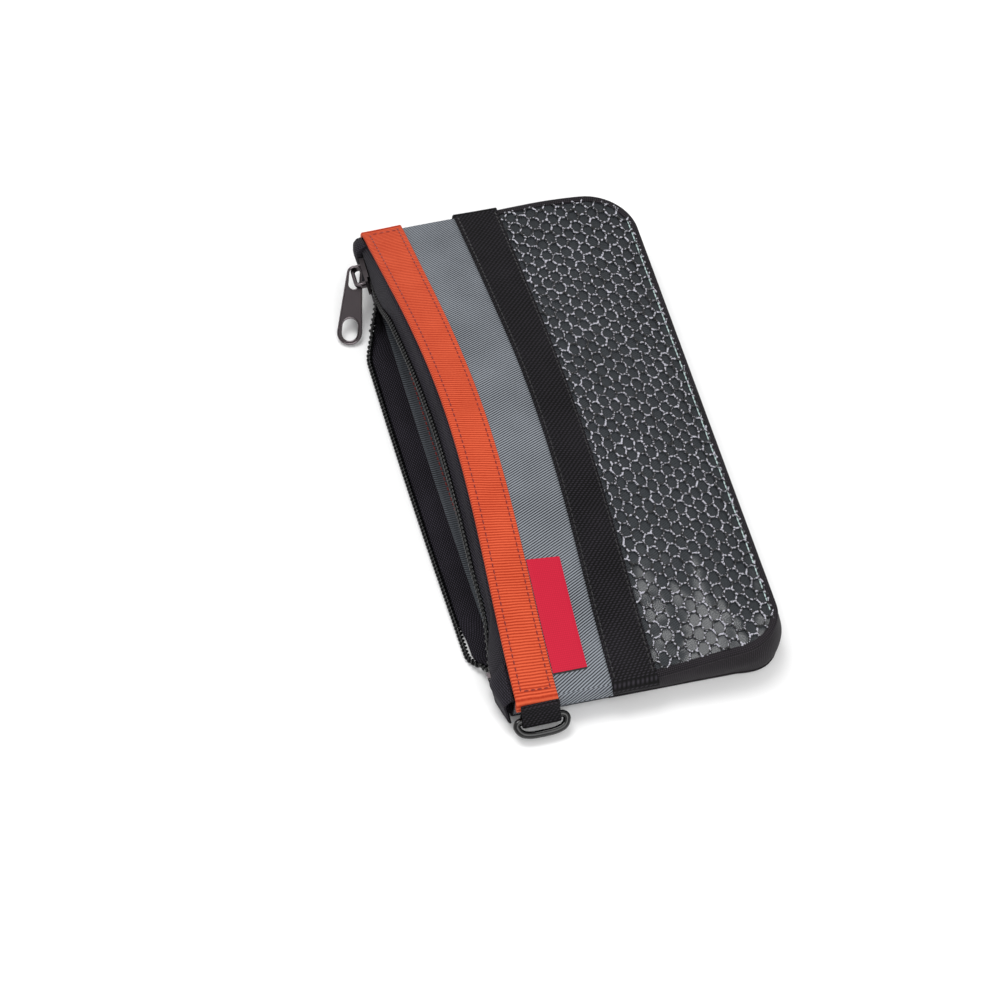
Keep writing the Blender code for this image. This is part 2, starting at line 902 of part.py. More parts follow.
def pull_frame():
    """Axes of the pull at rest: x across it and level, y towards its foot, z through it.

    The crown's bar passes through its eye, which hangs a little to one side of it.
    """
    world_up = Vector((0, 0, 1))
    bridge = bridge_frame()
    travel = bridge.to_3x3().col[0]
    level = world_up.cross(travel).normalized()
    ahead = level.cross(world_up)
    turn = math.radians(pull_rest_turn)
    fall = math.radians(pull_rest_fall)
    flat = ahead * math.cos(turn) - level * math.sin(turn)
    along = flat * math.cos(fall) - world_up * math.sin(fall)
    across = along.cross(world_up).normalized()
    frame = Matrix((across, along, across.cross(along))).transposed().to_4x4()
    frame.translation = bridge.translation + travel * pull_slide + across * pull_hang
    return frame


def make_pull():
    """A flat cast tab with a round head, a long eye for the crown and a hole at its foot."""
    head = -pull_eye_length / 2 - pull_rim
    foot = head + pull_length
    top_radius = pull_top_width / 2
    foot_radius = pull_foot_width / 2
    outline = arc((0, head + top_radius), top_radius, 180, 360, 9)
    outline += arc((0, foot - foot_radius), foot_radius, 0, 180, 9)
    pull = prism("pull_tab", outline, -pull_thickness / 2, pull_thickness / 2, black_nickel)
    cuts = []
    deep = pull_thickness
    cuts.append(slot_outline((0, 0), pull_eye_width, pull_eye_length))
    hole_middle = foot - pull_hole_rim - pull_hole_length / 2
    cuts.append(slot_outline((0, hole_middle), pull_hole_width, pull_hole_length))
    for outline in cuts:
        tool = prism("pull_cut", outline, -deep, deep, black_nickel)
        boolean(pull, tool, "DIFFERENCE")
        tool.matrix_world = pull_frame()
        ride(tool, pull_hub)
    rim = pull.modifiers.new("rim", "BEVEL")
    rim.width = pull_bevel
    rim.segments = 1
    rim.limit_method = "ANGLE"
    rim.angle_limit = math.radians(60)
    pull.matrix_world = pull_frame()
    return ride(pull, pull_hub)


# The hanging ring and the webbing that holds it

ring_x = mouth_x + orange_band_width / 2 + ring_shift
ring_seam_y = front_y(front_depth - orange_band_width / 2, -1)
loop_face_y = ring_seam_y - band_lift - band_webbing - fabric_gap
ring_centre = Vector((ring_x, ring_seam_y - ring_bar_out, ring_bar_height))
ring_half = ring_webbing / 2 + ring_side_gap + ring_bar / 2


def ring_points():
    """The ring's centreline: a bar along x, round corners and a full bow, as (x, reach)."""
    bar_end = ring_half - ring_corner
    points = [(share * bar_end, 0) for share in (-0.4, 0.4)]
    points += arc((bar_end, ring_corner), ring_corner, -90, 0, ring_corner_count)
    for turn in spread(0, math.pi, ring_bow_count):
        x = math.copysign(abs(math.cos(turn)) ** (2 / ring_fullness), math.cos(turn))
        reach = math.sin(turn) ** (2 / ring_fullness) * ring_bow
        if reach > ring_corner:
            points.append((x * ring_half, reach))
    points += arc((-bar_end, ring_corner), ring_corner, 180, 270, ring_corner_count)
    return points


def make_ring():
    """A round bar bent to a D, its section kept round through the bends."""
    droop = math.radians(ring_droop)
    out = Vector((0, -math.cos(droop), -math.sin(droop)))
    normal = Vector((1, 0, 0)).cross(out)
    line = [Vector((x, 0, 0)) + out * reach for x, reach in ring_points()]
    bm = bmesh.new()
    rings = []
    for i, point in enumerate(line):
        behind = (point - line[i - 1]).normalized()
        ahead = (line[(i + 1) % len(line)] - point).normalized()
        side = (behind + ahead).normalized().cross(normal)
        mitre = 1 / behind.cross(normal).dot(side)
        ring = []
        for k in range(ring_side_count):
            turn = 2 * math.pi * k / ring_side_count
            offset = side * math.cos(turn) * mitre + normal * math.sin(turn)
            ring.append(bm.verts.new(point + offset * ring_bar / 2))
        rings.append(ring)
    for i, a in enumerate(rings):
        b = rings[(i + 1) % len(rings)]
        for k in range(ring_side_count):
            n = (k + 1) % ring_side_count
            bm.faces.new((a[k], a[n], b[n], b[k]))
    ring = object_from("d_ring", mesh_from("d_ring", bm), black_acetal, coil_edge_angle)
    ring.matrix_world = ring_hub.matrix_world
    return ride(ring, ring_hub)


def make_ring_loop():
    """Webbing folded round the ring's bar, its two ends sewn together at the seam."""
    bar = Vector((ring_centre.y, ring_centre.z))
    root = Vector((loop_face_y - loop_webbing, loop_root_height))
    ahead = (bar - root).normalized()
    side = Vector((-ahead.y, ahead.x))
    inner_radius = ring_bar / 2 + loop_bar_gap
    outer_radius = inner_radius + loop_webbing
    waist = root.lerp(bar, loop_sewn_share)
    parting = waist + ahead * loop_webbing / 2
    half_gap = loop_bar_gap / 2
    outer = [root + side * loop_webbing, waist + side * (loop_webbing + half_gap)]
    inner = [waist + side * half_gap, parting + side * half_gap]
    for turn in spread(90, -90, 11):
        way = side * math.sin(math.radians(turn)) + ahead * math.cos(math.radians(turn))
        outer.append(bar + way * outer_radius)
        inner.append(bar + way * inner_radius)
    outer += [waist - side * (loop_webbing + half_gap), root - side * loop_webbing]
    inner += [parting - side * half_gap, waist - side * half_gap]
    bm = bmesh.new()
    rings = []
    for x in (ring_x - ring_webbing / 2, ring_x + ring_webbing / 2):
        rings.append([[bm.verts.new((x, p.x, p.y)) for p in line] for line in (outer, inner)])
    count = len(outer)
    for i in range(count):
        n = (i + 1) % count
        for line in (0, 1):
            a, b = rings[0][line], rings[1][line]
            bm.faces.new((a[i], a[n], b[n], b[i]))
        for ring in rings:
            bm.faces.new((ring[0][i], ring[0][n], ring[1][n], ring[1][i]))
    mesh = mesh_from("d_ring_loop", bm)
    return keep(object_from("d_ring_loop", mesh, black_webbing, fabric_edge_angle))


# Building

slider_hub.location = slider_rest
ring_hub.location = ring_centre
bpy.context.view_layer.update()
pull_hub.matrix_world = bridge_frame()
bpy.context.view_layer.update()

make_window_film()
make_grey_panel()
make_black_band()
make_window_net()
make_label()
make_orange_band()
make_gusset_black()
make_gusset_grey("gusset_grey_near", -1)
make_gusset_grey("gusset_grey_far", 1)
make_binding("back_seam_binding", binding_margin_share)
make_binding("front_seam_binding", 1 - binding_margin_share - binding_width_share)
make_back_panel()
make_lower_hem()
make_coil("zip_coil_upper", upper_coil_point)
make_coil("zip_coil_lower", lower_coil_point)
make_zip_tape("zip_tape_upper", upper_tape_row)
make_zip_tape("zip_tape_lower", lower_tape_row)
make_zip_stops()
make_end_tab("zip_end_tab_far", far_tab_end - far_tab_length, far_tab_end)
make_end_tab("zip_end_tab_near", near_tab_end, near_tab_end + near_tab_length)
make_slider()
make_crown()
make_pull()
make_ring()
make_ring_loop()

# The bag is moved so that its bounding box stands centred on the origin, its foot at zero

bpy.context.view_layer.update()
shown = bpy.context.evaluated_depsgraph_get()
corners = []
for piece in bpy.context.scene.objects:
    if piece.type != "EMPTY" and not piece.hide_render:
        solid = piece.evaluated_get(shown)
        corners += [piece.matrix_world @ vertex.co for vertex in solid.to_mesh().vertices]
        solid.to_mesh_clear()
low = Vector([min(corner[k] for corner in corners) for k in range(3)])
high = Vector([max(corner[k] for corner in corners) for k in range(3)])
bag.location = (-(low.x + high.x) / 2, -(low.y + high.y) / 2, -low.z)
bpy.context.view_layer.update()
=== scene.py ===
import json
import math

import bmesh
import bpy
from mathutils import Matrix, Vector, noise


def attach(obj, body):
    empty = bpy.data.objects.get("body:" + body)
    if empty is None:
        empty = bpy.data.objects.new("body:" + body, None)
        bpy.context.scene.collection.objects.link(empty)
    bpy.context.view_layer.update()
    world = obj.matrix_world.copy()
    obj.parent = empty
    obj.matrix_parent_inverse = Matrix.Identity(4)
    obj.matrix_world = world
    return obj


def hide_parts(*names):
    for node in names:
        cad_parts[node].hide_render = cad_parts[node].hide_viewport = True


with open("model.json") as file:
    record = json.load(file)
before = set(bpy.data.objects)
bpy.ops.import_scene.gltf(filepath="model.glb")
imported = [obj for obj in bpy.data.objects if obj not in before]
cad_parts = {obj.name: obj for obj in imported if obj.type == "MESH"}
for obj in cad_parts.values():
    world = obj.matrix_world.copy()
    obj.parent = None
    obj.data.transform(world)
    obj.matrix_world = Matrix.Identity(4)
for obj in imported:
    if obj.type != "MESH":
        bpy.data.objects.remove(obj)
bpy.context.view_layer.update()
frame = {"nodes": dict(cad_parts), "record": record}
mm = 0.001

# The bag itself: what every piece on it is laid out from
bag = {
    "length": 284 * mm,
    "windowWidth": 61.2 * mm,
    "blackBandWidth": 21.5 * mm,
    "greyPanelWidth": 25.3 * mm,
    "orangeBandWidth": 19 * mm,
    "wallHeight": 24 * mm,
    "baseCorner": 21 * mm,
    "farTaper": 9 * mm,
    "farMouthTaper": 1.7 * mm,
    "nearTaper": 3.5 * mm,
    "filmCrown": 5.0,
    "archPower": 0.85,
    "gap": 0.4 * mm,
    "seam": 6 * mm,
    "panelCloth": 0.8 * mm,
    "rippleDepth": 0.45 * mm,  # slow waves that lying on a table leaves in the cloth
    "rippleSize": 38 * mm,
    "rippleLong": 1.6,
    "rippleEdge": 4 * mm,
    "rippleRoom": 22 * mm,
}
# Slopes of the front in degrees, from the base to the mouth: mid-way, near end, far end
slopes = {
    "arched": (10.0, 20.0, 14.0, 19.0),
    "near": (-9.5, -2.5, -1.0, 2.5),
    "far": (-0.5, -1.0, 0.0, -0.5),
}

frontDepth = (
    bag["windowWidth"] + bag["blackBandWidth"] + bag["greyPanelWidth"] + bag["orangeBandWidth"]
)
halfLength = bag["length"] / 2
baseX = frontDepth / 2
mouthX = baseX - frontDepth
blackEnd = bag["windowWidth"] + bag["blackBandWidth"]
orangeStart = frontDepth - bag["orangeBandWidth"]
bandLift = bag["panelCloth"] + bag["gap"]
stripMiddles = (
    bag["windowWidth"] / 2,
    bag["windowWidth"] + bag["blackBandWidth"] / 2,
    blackEnd + bag["greyPanelWidth"] / 2,
    frontDepth - bag["orangeBandWidth"] / 2,
)


def mix(a, b, share):
    return a + (b - a) * share


def smooth(share):
    share = min(max(share, 0.0), 1.0)
    return share * share * (3 - 2 * share)


def spread(low, high, count):
    return [mix(low, high, i / (count - 1)) for i in range(count)]


def slopeFrom(table, reach):
    if reach <= stripMiddles[0]:
        return table[0]
    for i in range(1, len(table)):
        if reach <= stripMiddles[i]:
            span = stripMiddles[i] - stripMiddles[i - 1]
            return mix(table[i - 1], table[i], smooth((reach - stripMiddles[i - 1]) / span))
    return table[-1]


def archShare(along):
    return math.sin(math.pi * min(max(along, 0.0), 1.0)) ** bag["archPower"]


def frontSlope(reach, along):
    ends = mix(slopeFrom(slopes["near"], reach), slopeFrom(slopes["far"], reach), along)
    slope = mix(ends, slopeFrom(slopes["arched"], reach), archShare(along))
    if reach < bag["windowWidth"]:
        slope += bag["filmCrown"] * math.cos(math.pi * reach / bag["windowWidth"])
    return math.radians(slope)


def endOfFront(reach, far):
    corner = bag["baseCorner"]
    drawnIn = 0
    if reach < corner:
        rest = corner - max(reach, 0)
        drawnIn = corner - math.sqrt(corner**2 - rest**2)
    share = reach / frontDepth
    taper = bag["nearTaper"] * share
    if far:
        taper = bag["farTaper"] * (1 - share) ** 2 + bag["farMouthTaper"] * share
    return halfLength - drawnIn - taper


def frontY(reach, across):
    return across * endOfFront(reach, across > 0)


# The front's section is summed once over a table, then read between its rows
tableStep = 1 * mm
tableReach = int(frontDepth / tableStep) + 3
tableAlong = 160
frontTable = []
for row in range(tableAlong + 1):
    along = row / tableAlong
    x, z = baseX, bag["wallHeight"]
    line = []
    for i in range(tableReach):
        line.append((x, z, frontSlope(i * tableStep, along)))
        slope = frontSlope((i + 0.5) * tableStep, along)
        x -= tableStep * math.cos(slope)
        z += tableStep * math.sin(slope)
    frontTable.append(line)


def frontAt(reach, y):
    row = min(max((y + halfLength) / bag["length"], 0), 1) * tableAlong
    column = min(max(reach / tableStep, 0), tableReach - 1.001)
    r, c = min(int(row), tableAlong - 1), int(column)
    near = [mix(a, b, column - c) for a, b in zip(frontTable[r][c], frontTable[r][c + 1])]
    far = [mix(a, b, column - c) for a, b in zip(frontTable[r + 1][c], frontTable[r + 1][c + 1])]
    return [mix(a, b, row - r) for a, b in zip(near, far)]


def ripple(reach, y):
    size = bag["rippleSize"]
    room = min(halfLength - abs(y), reach + bag["rippleEdge"], frontDepth + bag["rippleEdge"] - reach)
    wave = noise.noise(Vector((reach / size, y / size / bag["rippleLong"], 3.1)))
    return wave * bag["rippleDepth"] * smooth(room / bag["rippleRoom"])


def frontPoint(reach, across, lift=0):
    y = frontY(reach, across)
    x, z, slope = frontAt(reach, y)
    lift += ripple(reach, y)
    return Vector((x + lift * math.sin(slope), y, z + lift * math.cos(slope)))


# Where the bag stands in the frame, read from the ring's joint
ringSize = {
    "bar": 3.5 * mm,
    "webbing": 18 * mm,
    "sideGap": 1 * mm,
    "bow": 7 * mm,
    "fullness": 3.2,
    "corner": 2.3 * mm,
    "height": 7.8 * mm,
    "out": 4.6 * mm,
    "droop": 30.0,
    "shift": 1.2 * mm,
    "sides": 20,
    "girth": 120 * mm,  # all the way round, for the surface's map alone
}
ringX = mouthX + bag["orangeBandWidth"] / 2 + ringSize["shift"]
ringSeamY = frontY(frontDepth - bag["orangeBandWidth"] / 2, -1)
ringCentre = Vector((ringX, ringSeamY - ringSize["out"], ringSize["height"]))
jointRows = {row["name"]: row for row in frame["record"]["behaviour"]["joints"]}
bagPlace = Vector(jointRows["ring_swing"]["pos_m"]) - ringCentre

# Materials


def linearColour(hexText):
    parts = [int(hexText[i : i + 2], 16) / 255 for i in (1, 3, 5)]
    return [v / 12.92 if v <= 0.04045 else ((v + 0.055) / 1.055) ** 2.4 for v in parts] + [1.0]


def addNode(tree, kind, settings, links=None):
    node = tree.nodes.new(kind)
    for key, value in settings.items():
        if isinstance(key, str) and hasattr(node, key):
            setattr(node, key, value)
        else:
            node.inputs[key].default_value = value
    for socket, source in (links or {}).items():
        tree.links.new(source, node.inputs[socket])
    return node


def newMaterial(name, settings):
    made = bpy.data.materials.new(name)
    made.use_nodes = True
    tree = made.node_tree
    shader = tree.nodes["Principled BSDF"]
    for key, value in settings.items():
        shader.inputs[key].default_value = value
    return made, tree, shader


def waveOf(tree, place, direction, pitch):
    dot = addNode(tree, "ShaderNodeVectorMath", {"operation": "DOT_PRODUCT", 1: direction}, {0: place})
    turn = addNode(
        tree, "ShaderNodeMath", {"operation": "MULTIPLY", 1: 2 * math.pi / pitch}, {0: dot.outputs["Value"]}
    )
    sine = addNode(tree, "ShaderNodeMath", {"operation": "SINE"}, {0: turn.outputs[0]})
    lifted = addNode(
        tree, "ShaderNodeMath", {"operation": "MULTIPLY_ADD", 1: 0.5, 2: 0.5}, {0: sine.outputs[0]}
    )
    return lifted.outputs[0]


# What all woven goods share; their patterns lie on a map in millimetres
weave = {
    "index": 1.54,
    "specular": 0.3,
    "sheenRoughness": 0.5,
    "bendScale": 0.09,  # yarns bend in waves of about 11 mm
    "bendDetail": 2.0,
    "fuzzDetail": 3.0,
    "wornScale": 0.03,  # areas of about 33 mm are a little lighter or darker
    "wornDetail": 4.0,
    "wornDepth": 0.5,
}


def wovenMaterial(name, cloth):
    made, tree, shader = newMaterial(
        name,
        {
            "Roughness": cloth["roughness"],
            "IOR": weave["index"],
            "Specular IOR Level": cloth.get("specular", weave["specular"]),
            "Sheen Weight": cloth["sheen"],
            "Sheen Roughness": weave["sheenRoughness"],
        },
    )
    place = addNode(tree, "ShaderNodeTexCoord", {}).outputs["UV"]
    bend = addNode(
        tree,
        "ShaderNodeTexNoise",
        {"Scale": weave["bendScale"], "Detail": weave["bendDetail"]},
        {"Vector": place},
    )
    moved = addNode(
        tree,
        "ShaderNodeVectorMath",
        {"operation": "MULTIPLY_ADD", 1: (cloth["wander"], cloth["wander"], 0)},
        {0: bend.outputs["Color"], 2: place},
    )
    heights = [waveOf(tree, moved.outputs[0], way, pitch) for way, pitch in cloth["yarns"]]
    height = heights[0]
    if len(heights) > 1:
        joined = addNode(
            tree, "ShaderNodeMath", {"operation": cloth["join"]}, {0: heights[0], 1: heights[1]}
        )
        height = joined.outputs[0]
    fuzz = addNode(
        tree,
        "ShaderNodeTexNoise",
        {"Scale": cloth["fuzzScale"], "Detail": weave["fuzzDetail"]},
        {"Vector": place},
    )
    tone = addNode(
        tree,
        "ShaderNodeMath",
        {"operation": "MULTIPLY_ADD", 1: cloth["fuzz"], 2: -cloth["fuzz"] / 2},
        {0: fuzz.outputs["Fac"]},
    )
    worn = addNode(
        tree,
        "ShaderNodeTexNoise",
        {"Scale": weave["wornScale"], "Detail": weave["wornDetail"]},
        {"Vector": place},
    )
    slow = addNode(
        tree,
        "ShaderNodeMath",
        {"operation": "MULTIPLY_ADD", 1: weave["wornDepth"], 2: -weave["wornDepth"] / 2},
        {0: worn.outputs["Fac"]},
    )
    thread = addNode(tree, "ShaderNodeMath", {"operation": "ADD"}, {0: height, 1: tone.outputs[0]})
    paintedShadeAndTone = addNode(
        tree,
        "ShaderNodeMath",
        {"operation": "ADD", "use_clamp": True},
        {0: thread.outputs[0], 1: slow.outputs[0]},
    )
    # the colour runs from low where the yarns lie deep to high on their crowns: painted shade in the
    # grooves and painted highlight on the crowns, over random tone from the fuzz and worn noise
    colour = addNode(
        tree,
        "ShaderNodeMix",
        {"data_type": "RGBA", 6: linearColour(cloth["low"]), 7: linearColour(cloth["high"])},
        {0: paintedShadeAndTone.outputs[0]},
    )
    tree.links.new(colour.outputs[2], shader.inputs["Base Color"])
    bump = addNode(
        tree,
        "ShaderNodeBump",
        {"Strength": cloth["bump"], "Distance": cloth["relief"]},
        {"Height": thread.outputs[0]},
    )
    tree.links.new(bump.outputs["Normal"], shader.inputs["Normal"])
    return made


# Polyester grosgrain, woven on a ribbon loom: matt, with ribs straight across it
orangeGrosgrain = wovenMaterial(
    "orange_polyester_grosgrain",
    {
        "low": "#9a2c14",
        "high": "#d25a39",
        "yarns": [((0, 1, 0), 1.3)],  # weft ribs, 1.3 mm apart
        "roughness": 0.85,
        "specular": 0.12,
        "sheen": 0.03,
        "wander": 0.8,
        "fuzzScale": 1.1,
        "fuzz": 0.5,
        "bump": 0.5,
        "relief": 0.12 * mm,
    },
)
# Packcloth in a 2/1 twill with a coated back: fine slanted lines, with painted highlight on their crowns
# and painted shade between them
twill = {
    "low": "#0e0f12",
    "high": "#8b9097",
    "yarns": [((0.478, 0.879, 0), 1.1)],  # twill lines 1.1 mm apart, near twice the real one
    "roughness": 0.8,
    "specular": 0.12,
    "sheen": 0.02,
    "wander": 0.5,
    "fuzzScale": 1.4,
    "fuzz": 0.5,
    "bump": 0.6,
    "relief": 0.1 * mm,
}
greyTwill = wovenMaterial("grey_polyester_twill", twill)
# The same cloth inside and under the bag, where it is seen from its coated side and drawn darker as painted
# shade
coatedSideInShade = {"low": "#17191c", "high": "#5c6066", "roughness": 0.75, "bump": 0.4, "relief": 0.08 * mm}
greyLiningInShade = wovenMaterial("grey_polyester_lining_in_shade", {**twill, **coatedSideInShade})
# Polypropylene webbing, woven: black, with a faint shine on each rib painted into its colour
blackWebbing = wovenMaterial(
    "black_polypropylene_webbing",
    {
        "low": "#010101",
        "high": "#2e2b31",
        "yarns": [((0, 1, 0), 1.15), ((0.75, 0.65, 0), 1.6)],  # picks 1.15 mm apart and a twill line
        "join": "MULTIPLY",
        "roughness": 0.65,
        "specular": 0.1,
        "sheen": 0.01,
        "wander": 0.5,
        "fuzzScale": 1.2,
        "fuzz": 0.4,
        "bump": 0.7,
        "relief": 0.15 * mm,
    },
)
# Nylon packcloth, plain woven: near black and matt, with a brown cast in the light
blackPackcloth = wovenMaterial(
    "black_nylon_packcloth",
    {
        "low": "#050405",
        "high": "#3a343b",
        "yarns": [((0, 1, 0), 0.9), ((1, 0, 0), 0.9)],  # threads 0.45 mm apart, drawn twice as wide
        "join": "MULTIPLY",
        "roughness": 0.72,
        "specular": 0.14,
        "sheen": 0.02,
        "wander": 0.4,
        "fuzzScale": 1.3,
        "fuzz": 0.4,
        "bump": 0.4,
        "relief": 0.1 * mm,
    },
)
# Knitted polyester zip tape: soft black with small wales along it
zipTape = wovenMaterial(
    "black_knitted_zip_tape",
    {
        "low": "#060507",
        "high": "#403c47",
        "yarns": [((1, 0.6, 0), 1.2), ((-1, 0.6, 0), 1.2)],  # 0.7 mm knit wales, drawn twice as wide
        "join": "MULTIPLY",
        "roughness": 0.85,
        "specular": 0.12,
        "sheen": 0.03,
        "wander": 0.4,
        "fuzzScale": 1.6,
        "fuzz": 0.7,
        "bump": 0.5,
        "relief": 0.12 * mm,
    },
)
# Damask woven label, satin faced: flat red with a fine grain
redDamask = wovenMaterial(
    "red_damask_label",
    {
        "low": "#ae152f",
        "high": "#c31d39",
        "yarns": [((0, 1, 0), 0.9), ((1, 0, 0), 0.9)],  # threads 0.2 mm apart, drawn 4.5 times as wide
        "join": "MULTIPLY",
        "roughness": 0.6,
        "specular": 0.12,
        "sheen": 0.02,
        "wander": 0.2,
        "fuzzScale": 1.5,
        "fuzz": 0.4,
        "bump": 0.25,
        "relief": 0.06 * mm,
    },
)


# Spun polyester sewing thread, in the colours of its seams
def sewingThread(name, low, high, roughness):
    return wovenMaterial(
        name,
        {
            "low": low,
            "high": high,
            "yarns": [((1, 1, 0), 0.4)],  # ply twist, 0.4 mm a turn
            "roughness": roughness,
            "sheen": 0.2,
            "wander": 0.0,
            "fuzzScale": 2.0,
            "fuzz": 0.3,
            "bump": 0.3,
            "relief": 0.05 * mm,
        },
    )


redThread = sewingThread("red_polyester_thread", "#5c0f08", "#8f1c10", 0.6)
blackThread = sewingThread("black_polyester_thread", "#030303", "#1d1b1e", 0.55)
paleThread = sewingThread("pale_polyester_thread", "#7f9a99", "#d5e6e3", 0.5)
grainStrength = 0.3  # how far the grain of a smooth surface bends the light


def mottle(tree, shader, scale, low, high, relief, detail=4.0):
    place = addNode(tree, "ShaderNodeTexCoord", {}).outputs["Object"]
    grain = addNode(
        tree, "ShaderNodeTexNoise", {"Scale": scale, "Detail": detail}, {"Vector": place}
    )
    rough = addNode(
        tree, "ShaderNodeMapRange", {"To Min": low, "To Max": high}, {"Value": grain.outputs["Fac"]}
    )
    tree.links.new(rough.outputs["Result"], shader.inputs["Roughness"])
    bump = addNode(
        tree,
        "ShaderNodeBump",
        {"Strength": grainStrength, "Distance": relief},
        {"Height": grain.outputs["Fac"]},
    )
    tree.links.new(bump.outputs["Normal"], shader.inputs["Normal"])


def smoothMaterial(name, settings, **grain):
    made, tree, shader = newMaterial(name, settings)
    mottle(tree, shader, **grain)
    return made


# Calendered vinyl film: clear and glossy, with a soft orange peel; its dark grey colour, part opaque, is
# painted shade of the bag's inside seen through it
clearFilm = smoothMaterial(
    "clear_vinyl_film",
    {"Base Color": linearColour("#35393d"), "IOR": 1.53, "Alpha": 0.42},
    scale=90,
    low=0.12,
    high=0.26,
    relief=0.2 * mm,
    detail=0.5,
)
# Polyester multifilament, warp knitted into net: dark yarn, with painted highlights in its colour for the
# glints on its twist
paintedGlintFlecks = {
    "scale": 950,  # 1 mm flecks of painted highlight, for filaments that lie flat and shine beside ones that turn away
    "detail": 0.5,
    "from": 0.53,
    "to": 0.57,
    "dark": "#050506",
    "bright": "#bcbbc5",
}
netYarn, netTree, netShader = newMaterial(
    "black_knitted_net", {"Base Color": linearColour("#1b1a1e"), "IOR": 1.57}
)
mottle(netTree, netShader, scale=900, low=0.3, high=0.5, relief=0.1 * mm)
netPlace = addNode(netTree, "ShaderNodeTexCoord", {}).outputs["Object"]
# bright flecks of painted highlight in the yarn's colour
paintedGlintNoise = addNode(
    netTree,
    "ShaderNodeTexNoise",
    {"Scale": paintedGlintFlecks["scale"], "Detail": paintedGlintFlecks["detail"]},
    {"Vector": netPlace},
)
paintedGlintEdge = addNode(
    netTree,
    "ShaderNodeMapRange",
    {"From Min": paintedGlintFlecks["from"], "From Max": paintedGlintFlecks["to"]},
    {"Value": paintedGlintNoise.outputs["Fac"]},
)
paintedGlintColour = addNode(
    netTree,
    "ShaderNodeMix",
    {"data_type": "RGBA", 6: linearColour(paintedGlintFlecks["dark"]), 7: linearColour(paintedGlintFlecks["bright"])},
    {0: paintedGlintEdge.outputs["Result"]},
)
netTree.links.new(paintedGlintColour.outputs[2], netShader.inputs["Base Color"])
# Nylon monofilament, wound and heat set: glossy black, each turn with its own highlight
nylonCoil = smoothMaterial(
    "black_nylon_monofilament",
    {"Base Color": linearColour("#070708"), "IOR": 1.53, "Specular IOR Level": 0.35},
    scale=400,
    low=0.2,
    high=0.32,
    relief=0.02 * mm,
)
# Zinc casting, barrelled and plated in black nickel: satin, warm grey in the light
blackNickel = smoothMaterial(
    "black_nickel_on_zinc",
    {"Base Color": linearColour("#443f41"), "Metallic": 1.0},
    scale=260,
    low=0.3,
    high=0.48,
    relief=0.03 * mm,
)
# The same plating where handling has polished it
polishedNickel = smoothMaterial(
    "polished_black_nickel",
    {"Base Color": linearColour("#665f62"), "Metallic": 1.0},
    scale=200,
    low=0.1,
    high=0.2,
    relief=0.02 * mm,
)
# Acetal, injection moulded: dense black with a broad wet highlight
blackAcetal = smoothMaterial(
    "black_moulded_acetal",
    {"Base Color": linearColour("#060607"), "IOR": 1.48},
    scale=300,
    low=0.1,
    high=0.2,
    relief=0.03 * mm,
)
print("materials made")

# Mesh helpers


def squarer(value, power):
    return math.copysign(abs(value) ** power, value)


def circleRound(centre, side, up, radius, sides):
    turns = [2 * math.pi * k / sides for k in range(sides)]
    return [centre + (side * math.cos(turn) + up * math.sin(turn)) * radius for turn in turns]


def addTube(points, faces, rings):
    start, sides = len(points), len(rings[0])
    points += [point + bagPlace for ring in rings for point in ring]
    for i in range(len(rings) - 1):
        low, high = start + i * sides, start + (i + 1) * sides
        for k in range(sides):
            n = (k + 1) % sides
            faces.append((low + k, low + n, high + n, high + k))
    faces.append(tuple(start + k for k in reversed(range(sides))))
    faces.append(tuple(high + k for k in range(sides)))


def meshFromLoft(name, rings, stations, closedAlong=False):
    count = len(rings[0])
    points = [point + bagPlace for ring in rings for point in ring]
    girths = []
    for ring in rings:
        girth = [0.0]
        for a, b in zip(ring, ring[1:] + ring[:1]):
            girth.append(girth[-1] + (b - a).length / mm)
        girths.append(girth)
    faces, flat = [], []
    total = len(rings) if closedAlong else len(rings) - 1
    for i in range(total):
        j = (i + 1) % len(rings)
        for k in range(count):
            n = (k + 1) % count
            faces.append((i * count + k, j * count + k, j * count + n, i * count + n))
            low, high = stations[i] / mm, stations[i + 1] / mm
            flat += [(girths[i][k], low), (girths[j][k], high)]
            flat += [(girths[j][k + 1], high), (girths[i][k + 1], low)]
    if not closedAlong:
        last = (len(rings) - 1) * count
        faces.append(tuple(range(count)))
        flat += [(girths[0][k], 0) for k in range(count)]
        faces.append(tuple(last + k for k in reversed(range(count))))
        flat += [(girths[-1][k], 0) for k in reversed(range(count))]
    mesh = bpy.data.meshes.new(name)
    mesh.from_pydata(points, [], faces)
    layer = mesh.uv_layers.new(name="millimetres")
    for corner, uv in zip(layer.data, flat):
        corner.uv = uv
    return mesh


def joinMeshes(name, meshes):
    points, faces, flat = [], [], []
    for mesh in meshes:
        start = len(points)
        points += [vertex.co.copy() for vertex in mesh.vertices]
        layer = mesh.uv_layers.active
        for face in mesh.polygons:
            faces.append(tuple(start + v for v in face.vertices))
            if layer:
                flat += [tuple(layer.data[corner].uv) for corner in face.loop_indices]
            else:
                flat += [(0.0, 0.0)] * face.loop_total
    joined = bpy.data.meshes.new(name)
    joined.from_pydata(points, [], faces)
    layer = joined.uv_layers.new(name="millimetres")
    for corner, uv in zip(layer.data, flat):
        corner.uv = uv
    return joined


def outward(mesh):
    bm = bmesh.new()
    bm.from_mesh(mesh)
    bmesh.ops.recalc_face_normals(bm, faces=bm.faces)
    bm.to_mesh(mesh)
    bm.free()


def addPiece(name, mesh, finish, body="bag", nodes=(), sharpOver=50):
    outward(mesh)
    mesh.materials.append(finish)
    mesh.shade_smooth()
    mesh.set_sharp_from_angle(angle=math.radians(sharpOver))
    piece = bpy.data.objects.new(name, mesh)
    bpy.context.scene.collection.objects.link(piece)
    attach(piece, body)
    if nodes:
        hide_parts(*nodes)
    return piece


